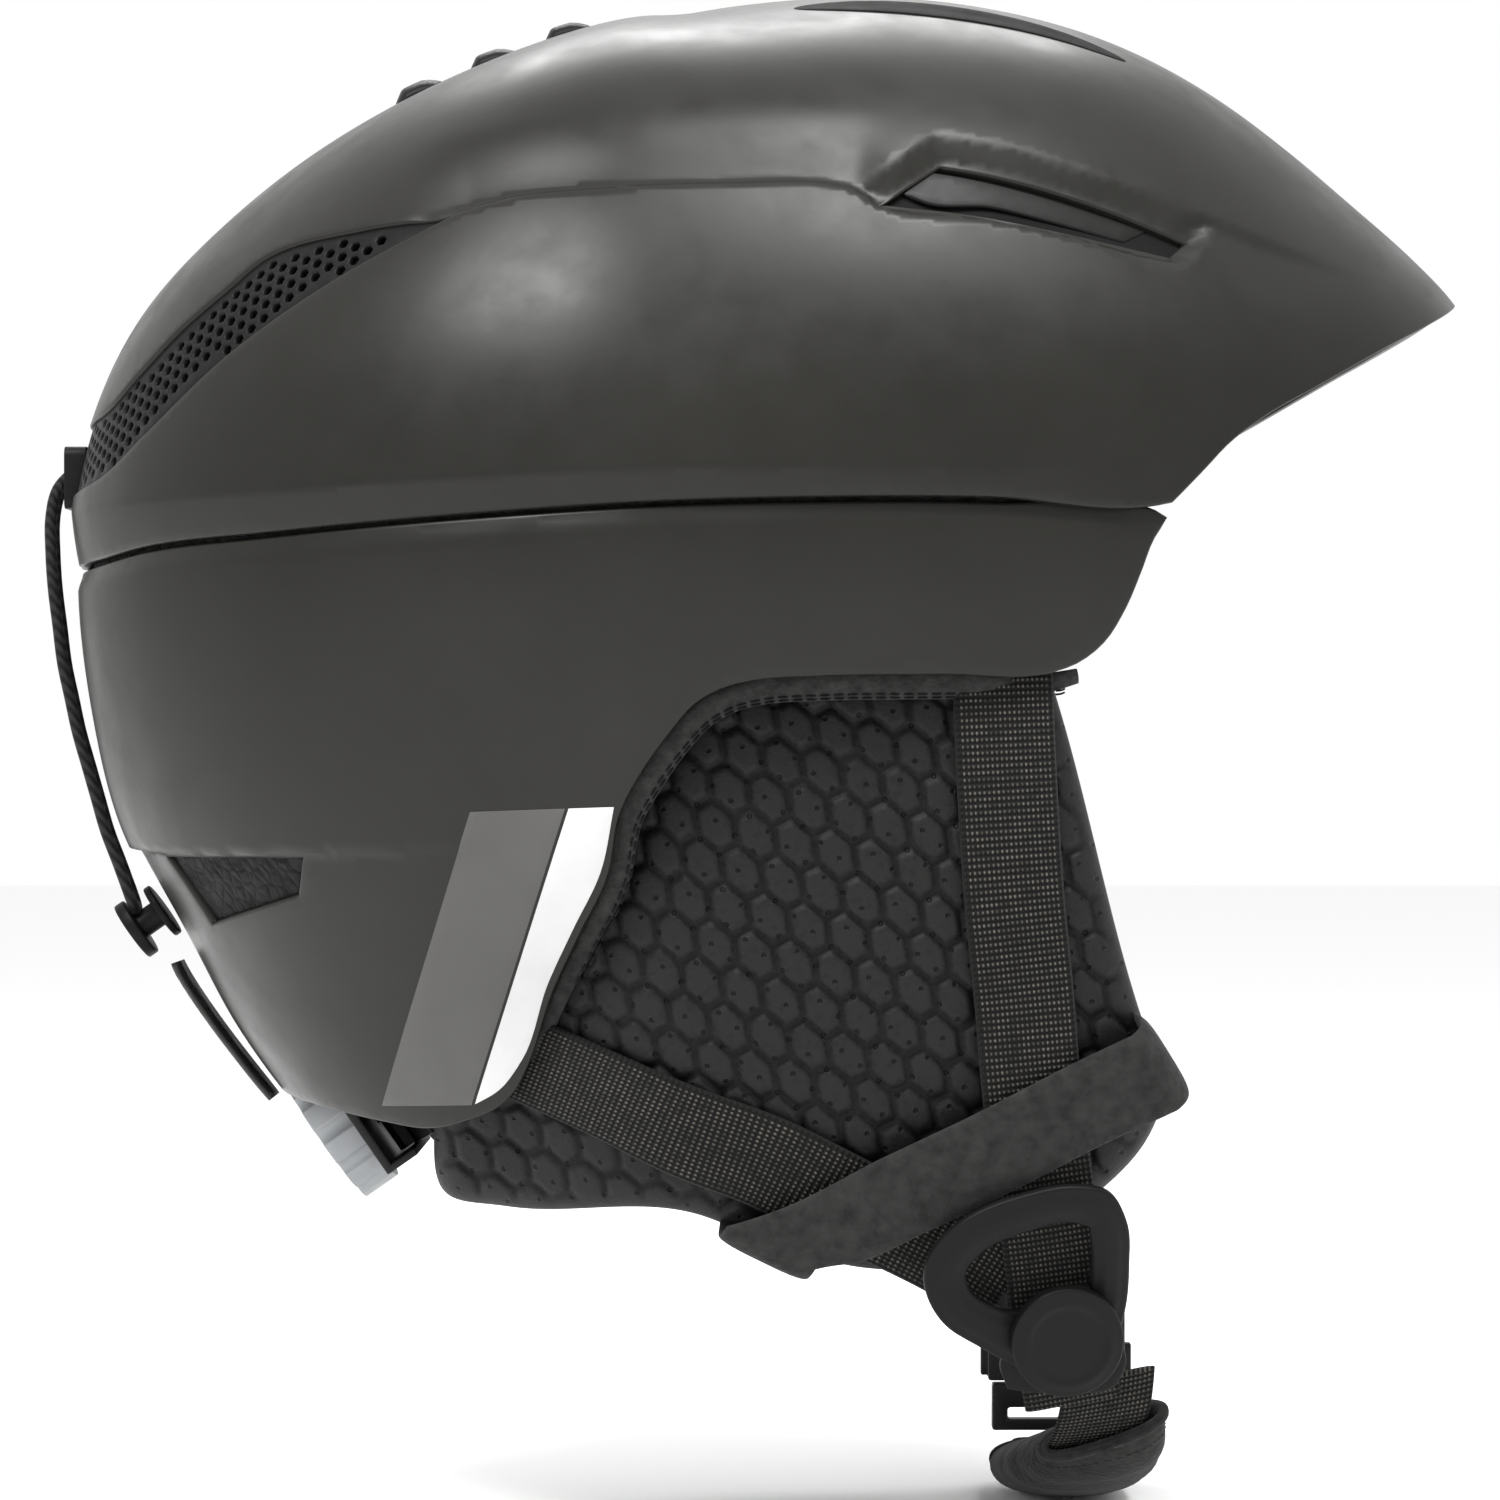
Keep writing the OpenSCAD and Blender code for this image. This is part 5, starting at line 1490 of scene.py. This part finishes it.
def refined(node, body, material, width, segments=3):
    """A copy of a CAD node's solid with its edges rounded over."""
    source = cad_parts[node]
    mesh = source.data.copy()
    mesh.transform(source.matrix_world)
    ob = placed(node + "_part", mesh)
    build = bmesh.new()
    build.from_mesh(mesh)
    bmesh.ops.remove_doubles(build, verts=build.verts, dist=2e-5)
    bmesh.ops.dissolve_limit(build, angle_limit=math.radians(1), verts=build.verts, edges=build.edges)
    build.to_mesh(mesh)
    build.free()
    bevel = ob.modifiers.new("edge", "BEVEL")
    bevel.width = width * MM
    bevel.segments = segments
    bevel.limit_method = "ANGLE"
    bevel.angle_limit = math.radians(28)
    bevel.use_clamp_overlap = True
    apply_all(ob)
    mesh = ob.data
    mesh.materials.clear()
    mesh.materials.append(material)
    mesh.shade_smooth()
    mesh.set_sharp_from_angle(angle=math.radians(50))
    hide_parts(node)
    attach(ob, body)


# ------------------------------------------------------------------ materials
def grey(value):
    return (value, value, value)


class Shader:
    """Short hand for building one material's nodes."""

    def __init__(self, name, color, rough, **sockets):
        self.material = bpy.data.materials.new(name)
        self.material.use_nodes = True
        self.tree = self.material.node_tree
        self.shader = self.tree.nodes["Principled BSDF"]
        self.shader.inputs["Base Color"].default_value = (*color, 1)
        self.shader.inputs["Roughness"].default_value = rough
        for key, value in sockets.items():
            self.shader.inputs[key.replace("_", " ")].default_value = value
        self.height = None

    def node(self, kind, **sockets):
        node = self.tree.nodes.new("ShaderNode" + kind)
        for key, value in sockets.items():
            node.inputs[key.replace("_", " ")].default_value = value
        return node

    def link(self, a, b):
        self.tree.links.new(a, b)

    def place(self):
        return self.node("TexCoord").outputs["Object"]

    def noise(self, scale, detail=3.0, where=None, rough=0.55):
        node = self.node("TexNoise", Scale=scale, Detail=detail, Roughness=rough)
        self.link(where or self.place(), node.inputs["Vector"])
        return node.outputs["Fac"]

    def cells(self, scale, feature="F1", where=None, random=1.0):
        node = self.node("TexVoronoi", Scale=scale, Randomness=random)
        node.feature = feature
        self.link(where or self.place(), node.inputs["Vector"])
        return node.outputs["Distance"]

    def ramp(self, value, stops):
        node = self.node("ValToRGB")
        elements = node.color_ramp.elements
        while len(elements) < len(stops):
            elements.new(0.5)
        for element, (at, color) in zip(elements, stops):
            element.position = at
            element.color = (*color, 1) if len(color) == 3 else color
        self.link(value, node.inputs["Fac"])
        return node.outputs["Color"]

    def spread(self, value, low, high, low_to, high_to):
        node = self.node("MapRange")
        for key, number in zip(("From Min", "From Max", "To Min", "To Max"), (low, high, low_to, high_to)):
            node.inputs[key].default_value = number
        self.link(value, node.inputs["Value"])
        return node.outputs["Result"]

    def math(self, operation, a, b=None):
        node = self.node("Math")
        node.operation = operation
        for socket, value in zip(node.inputs, (a, b)):
            if value is None:
                continue
            if isinstance(value, (int, float)):
                socket.default_value = value
            else:
                self.link(value, socket)
        return node.outputs[0]

    def color(self, socket):
        self.link(socket, self.shader.inputs["Base Color"])

    def rough(self, scale, low, high, detail=4):
        """Roughness that wanders between low and high."""
        value = self.spread(self.noise(scale, detail), 0.3, 0.7, low, high)
        self.link(value, self.shader.inputs["Roughness"])

    def mottle(self, scale, dark, light):
        """Colour that wanders between dark and light."""
        self.color(self.ramp(self.noise(scale, 4), [(0.3, dark), (0.7, light)]))

    def uv(self):
        """The two axes of the piece's own layout, in millimetres."""
        uv = self.node("UVMap")
        uv.uv_map = UV_NAME
        split = self.node("SeparateXYZ")
        self.link(uv.outputs["UV"], split.inputs["Vector"])
        return split.outputs["X"], split.outputs["Y"]

    def bump(self, value, strength, distance):
        node = self.node("Bump", Strength=strength, Distance=distance)
        self.link(value, node.inputs["Height"])
        if self.height is not None:
            self.link(self.height, node.inputs["Normal"])
        self.height = node.outputs["Normal"]
        self.link(self.height, self.shader.inputs["Normal"])


def plastic(name, color, rough, grain, strength, vary=0.08, gloss=0.4):
    """Moulded plastic: fine texture, slight cloudiness, and convex edges painted a little lighter as a painted
    highlight.
    """
    s = Shader(name, color, rough, Specular_IOR_Level=gloss)
    cloud = s.noise(28, 4)
    dark = tuple(c * (1 - vary) for c in color)
    light = tuple(c * (1 + vary * 1.6) for c in color)
    tone = s.ramp(cloud, [(0.3, dark), (0.7, light)])
    # Convex edges, found by pointiness, get a lighter colour mixed in: a painted highlight along the edges.
    geometry = s.node("NewGeometry")
    edge_highlight = s.spread(geometry.outputs["Pointiness"], 0.53, 0.6, 0, 0.5)
    mix = s.node("Mix")
    mix.data_type = "RGBA"
    s.link(edge_highlight, mix.inputs["Factor"])
    s.link(tone, mix.inputs[6])
    mix.inputs[7].default_value = (*(min(c * 1.7 + 0.004, 1) for c in color), 1)
    s.color(mix.outputs[2])
    s.rough(90, rough - 0.05, rough + 0.06, 5)
    s.bump(s.noise(grain, 6, rough=0.6), strength, 0.0002)
    return s.material


def fabric(name, color, thread, strength, sheen, light=1.5):
    """Knitted or woven cloth in fine cells, with a soft sheen and slightly mottled colour."""
    s = Shader(name, color, 0.9, Sheen_Weight=sheen, Sheen_Roughness=0.5, Specular_IOR_Level=0.12)
    speck = s.noise(thread * 0.35, 5)
    s.color(s.ramp(speck, [(0.28, tuple(c * 0.55 for c in color)), (0.5, color),
                           (0.74, tuple(c * light for c in color))]))
    s.bump(s.cells(thread), strength, 0.0003)
    s.bump(s.noise(thread * 0.12, 4), strength * 0.6, 0.0004)
    return s.material


def pad_face():
    """Stretch knit over hexagonal foam cells, with small pin holes on the tops; the pin holes are painted
    near-black and the grooves darker, as painted shade.
    """
    s = Shader("pad_knit", grey(0.02), 0.55, Sheen_Weight=0.02, Sheen_Roughness=0.45,
               Specular_IOR_Level=0.13)
    x, z = s.uv()
    b1, b2 = np.array([6.6, 0.8]), np.array([3.65, -3.0])
    inverse = np.linalg.inv(np.stack([b1, b2], 1))
    near = []
    for row in inverse:
        u = s.math("ADD", s.math("MULTIPLY", x, float(row[0])), s.math("MULTIPLY", z, float(row[1])))
        near.append(s.math("SUBTRACT", s.math("FRACT", s.math("ADD", u, 0.5)), 0.5))
    dx, dz = (s.math("ADD", s.math("MULTIPLY", near[0], float(b1[k])),
                     s.math("MULTIPLY", near[1], float(b2[k]))) for k in (0, 1))
    d = s.math("SQRT", s.math("ADD", s.math("MULTIPLY", dx, dx), s.math("MULTIPLY", dz, dz)))
    # The pin holes are painted near-black dots: painted shade for holes that the mesh doesn't cut.
    hole = s.spread(d, 0.3, 0.55, 0.0, 1.0)
    # Points in the grooves between the cells are painted darker: painted shade in the grooves.
    groove = s.node("Attribute")
    groove.attribute_name = "groove"
    shade = s.spread(groove.outputs["Fac"], 0.0, 1.0, 1.0, 0.5)
    fine = s.spread(s.noise(700, 3), 0.3, 0.7, 0.8, 1.25)
    tone = s.math("MULTIPLY", s.math("MULTIPLY", hole, shade), fine)
    s.color(s.ramp(tone, [(0.0, grey(0.0004)), (0.5, grey(0.0016)), (1.0, (0.0095, 0.0094, 0.0092))]))
    s.bump(s.cells(1500), 0.25, 0.0002)
    s.bump(hole, 0.8, 0.0004)
    return s.material


def webbing():
    """Coarse strap weave: rows of pale beads on a near-black ground."""
    s = Shader("strap_weave", (0.02, 0.019, 0.017), 0.8, Sheen_Weight=0.04, Specular_IOR_Level=0.15)
    x, y = s.uv()
    across = s.math("COSINE", s.math("MULTIPLY", x, 2 * math.pi / BEAD_ACROSS))
    along = s.math("COSINE", s.math("MULTIPLY", y, 2 * math.pi / BEAD_ALONG))
    edge = s.spread(s.math("ABSOLUTE", x), 8.6, 9.2, 1.0, 0.25)
    bead = s.math("MULTIPLY", s.spread(s.math("ADD", across, along), 0.2, 1.5, 0.0, 1.0), edge)
    uneven = s.spread(s.noise(420, 3), 0.3, 0.7, 0.45, 1.15)
    tone = s.math("MULTIPLY", bead, uneven)
    s.color(s.ramp(tone, [(0.0, (0.0022, 0.0022, 0.002)), (0.35, (0.009, 0.0087, 0.0075)),
                          (1.0, (0.085, 0.078, 0.066))]))
    s.bump(s.math("ADD", across, along), 0.5, 0.0003)
    return s.material


def cord_braid():
    """Braided sheath: slanted bands."""
    s = Shader("cord_braid", grey(0.008), 0.7, Sheen_Weight=0.05, Specular_IOR_Level=0.15)
    wave = s.node("TexWave", Scale=260.0, Distortion=1.5)
    wave.bands_direction = "DIAGONAL"
    s.link(s.place(), wave.inputs["Vector"])
    s.color(s.ramp(wave.outputs["Fac"], [(0.2, grey(0.003)), (0.8, grey(0.016))]))
    s.bump(wave.outputs["Fac"], 0.6, 0.0003)
    return s.material


def leather():
    """Fine creased grain."""
    s = Shader("tab_hide", (0.014, 0.0137, 0.0133), 0.5, Specular_IOR_Level=0.25)
    s.mottle(60, (0.008, 0.008, 0.0077), (0.018, 0.0177, 0.017))
    s.bump(s.spread(s.cells(850, "DISTANCE_TO_EDGE"), 0.0, 0.12, 0.0, 1.0), 0.35, 0.0002)
    s.rough(200, 0.42, 0.6)
    return s.material


def foam_beads():
    """Expanded foam: round beads pressed together."""
    s = Shader("foam_beads", grey(0.008), 0.75, Specular_IOR_Level=0.12)
    s.mottle(260, grey(0.004), grey(0.018))
    s.bump(s.spread(s.cells(330, "DISTANCE_TO_EDGE"), 0.0, 0.25, 0.0, 1.0), 0.8, 0.0006)
    return s.material


def steel():
    s = Shader("rivet_metal", (0.5, 0.5, 0.52), 0.35, Metallic=1.0)
    s.rough(400, 0.28, 0.45)
    s.bump(s.noise(900, 3), 0.1, 0.0001)
    return s.material


def dial_resin():
    """Pale grey plastic that lets a little light in."""
    s = Shader("dial_resin", (0.36, 0.37, 0.385), 0.38, Subsurface_Weight=0.25,
               Subsurface_Radius=(0.004, 0.004, 0.004))
    s.mottle(40, (0.25, 0.26, 0.27), (0.33, 0.34, 0.35))
    s.rough(120, 0.33, 0.46)
    s.bump(s.noise(1200, 3), 0.12, 0.0001)
    return s.material


# ------------------------------------------------------------------ camera, light and floor
def camera():
    """The photograph's view: level, along +Y, at the wearer's right side."""
    data = bpy.data.cameras.new("camera")
    data.sensor_width = 36
    data.lens = 148.57
    data.clip_start = 0.05
    ob = placed("camera", data)
    ob.location = (0.0189, -1.3, -0.0399)
    ob.rotation_euler = (math.pi / 2, 0, 0)
    bpy.context.scene.camera = ob


def softbox(name, at, target, size, power, tall):
    data = bpy.data.lights.new(name, "AREA")
    data.shape = "RECTANGLE"
    data.size = size
    data.size_y = tall
    data.energy = power
    ob = placed(name, data)
    ob.location = at
    ob.rotation_euler = (Vector(target) - Vector(at)).to_track_quat("-Z", "Y").to_euler()


def stage():
    """Pale floor just under the object, an even white surround and three softboxes."""
    low = cad_box[0][2] - 0.0015
    mesh = bpy.data.meshes.new("floor")
    size = 6.0
    mesh.from_pydata([(-size, -size, low), (size, -size, low), (size, size, low), (-size, size, low)],
                     [], [(0, 1, 2, 3)])
    floor = placed("floor", mesh)
    s = Shader("floor_paper", grey(0.93), 0.9)
    s.bump(s.noise(300, 3), 0.02, 0.0002)
    mesh.materials.append(s.material)
    world = bpy.data.worlds.new("studio")
    world.use_nodes = True
    world.node_tree.nodes["Background"].inputs["Color"].default_value = (1, 1, 1, 1)
    world.node_tree.nodes["Background"].inputs["Strength"].default_value = 1.0
    bpy.context.scene.world = world
    bpy.context.scene.view_settings.view_transform = "Standard"
    softbox("key", (-0.46, -0.70, 1.02), (-0.02, -0.09, 0.05), 0.55, 19, 0.4)
    softbox("second", (0.34, -0.42, 1.2), (0.05, -0.08, 0.06), 0.5, 17, 0.4)
    softbox("back_top", (0.0, 0.95, 0.95), (0.0, 0.0, 0.1), 0.8, 7, 0.3)


# ------------------------------------------------------------------ the helmet
def build_shell():
    satin = plastic("shell_satin_paint", (0.0095, 0.0092, 0.0078), 0.34, 700, 0.06, gloss=0.2)
    trim = plastic("trim_moulding", (0.005, 0.005, 0.0049), 0.45, 900, 0.15, gloss=0.1)
    plate = plastic("shutter_moulding", (0.006, 0.006, 0.0056), 0.4, 900, 0.12, gloss=0.12)
    dark = plastic("bed_moulding", (0.004, 0.004, 0.004), 0.75, 500, 0.4, gloss=0.1)
    upper_shell(satin)
    lower_shell(satin)
    for side in (1, -1):
        hex_grille(trim, side)
        shutter((plate, dark), side)
        # The intakes take the darkest moulding, laid flush: partly painted shade for their openings.
        scoop(dark, side)
    for k in range(3):
        louvre("louvre_%d" % (k + 1), -55 + 15.5 * k, trim)
    top_mesh(trim)
    for name, outline, slot, color, grain in (
            ("stripe_grey", DECAL_GREY, "decal_grey", (0.07, 0.069, 0.066), 0.06),
            ("stripe_white", DECAL_WHITE, "decal_white", grey(0.46), 0.05)):
        decal(name, outline, plastic(name + "_film", color, 0.45, 800, grain, gloss=0.15), slot)
    refined("goggle_clip", "helmet", trim, 0.4)
    refined("retainer_hook", "helmet", trim, 0.4)
    refined("strap_rivets", "helmet", steel(), 0.4)
    return trim


def build_inside(trim):
    foam_liner(foam_beads())
    knit = fabric("liner_knit", grey(0.011), 1300, 0.4, 0.05)
    comfort_pads(knit)
    refined("ear_pad_studs", "helmet", trim, 0.5)
    fit = plastic("fit_moulding", (0.009, 0.009, 0.0092), 0.45, 900, 0.12, gloss=0.16)
    for node, body in (("dial_housing", "helmet"), ("dial_cover", "helmet"), ("cradle_yoke", "helmet"),
                       ("dial_pinion", "dial"), ("fit_belt_right", "belt_right"),
                       ("fit_belt_left", "belt_left")):
        refined(node, body, fit, 0.15 if node == "dial_pinion" else 0.3)
    refined("dial_wheel", "dial", dial_resin(), 0.6, segments=4)
    return knit


def build_pads(knit):
    face = pad_face()
    band = fabric("piping_weave", (0.02, 0.02, 0.0195), 1100, 0.5, 0.04)
    thread = fabric("dark_thread", grey(0.006), 2000, 0.3, 0.03)
    for side in (1, -1):
        ear_pad(side, (face, knit))
        piping(side, band, thread)
    neck_pad(knit)
    return thread


def build_straps(trim):
    weave = webbing()
    soft = fabric("soft_band_cloth", (0.019, 0.0187, 0.0183), 900, 0.6, 0.06, 1.4)
    def low(t):
        return LIFT_LOW + (LIFT_HIGH - LIFT_LOW) * ease((t - 0.4) / 0.2)

    strap("front_strap_web_right", FRONT_STRAP, low, -1, weave, "front_strap_right")
    strap("front_strap_web_left", FRONT_STRAP[:7] + [[81.3, -155.4]], low, 1, weave, "front_strap_left")
    for side in (1, -1):
        name = side_name(side)
        strap("rear_strap_web_" + name, REAR_STRAP, lambda t: LIFT_LOW, side, weave, "rear_strap_" + name)
        keeper_band(side, soft)
        divider(side, trim)
    chin_webbing(weave)
    sleeve(soft)
    buckle = plastic("buckle_moulding", (0.007, 0.007, 0.0068), 0.42, 800, 0.1, gloss=0.16)
    for node, body in (("buckle_female", "helmet"), ("buckle_male", "chin_band"),
                       ("buckle_prong_front", "prong_front"), ("buckle_prong_rear", "prong_rear")):
        refined(node, body, buckle, 0.7 if "male" in node else 0.4)


def build_retainer(thread):
    braided_cord(cord_braid())
    pull_tab(leather(), thread)


camera()
stage()
trim_material = build_shell()
knit_material = build_inside(trim_material)
thread_material = build_pads(knit_material)
build_straps(trim_material)
build_retainer(thread_material)
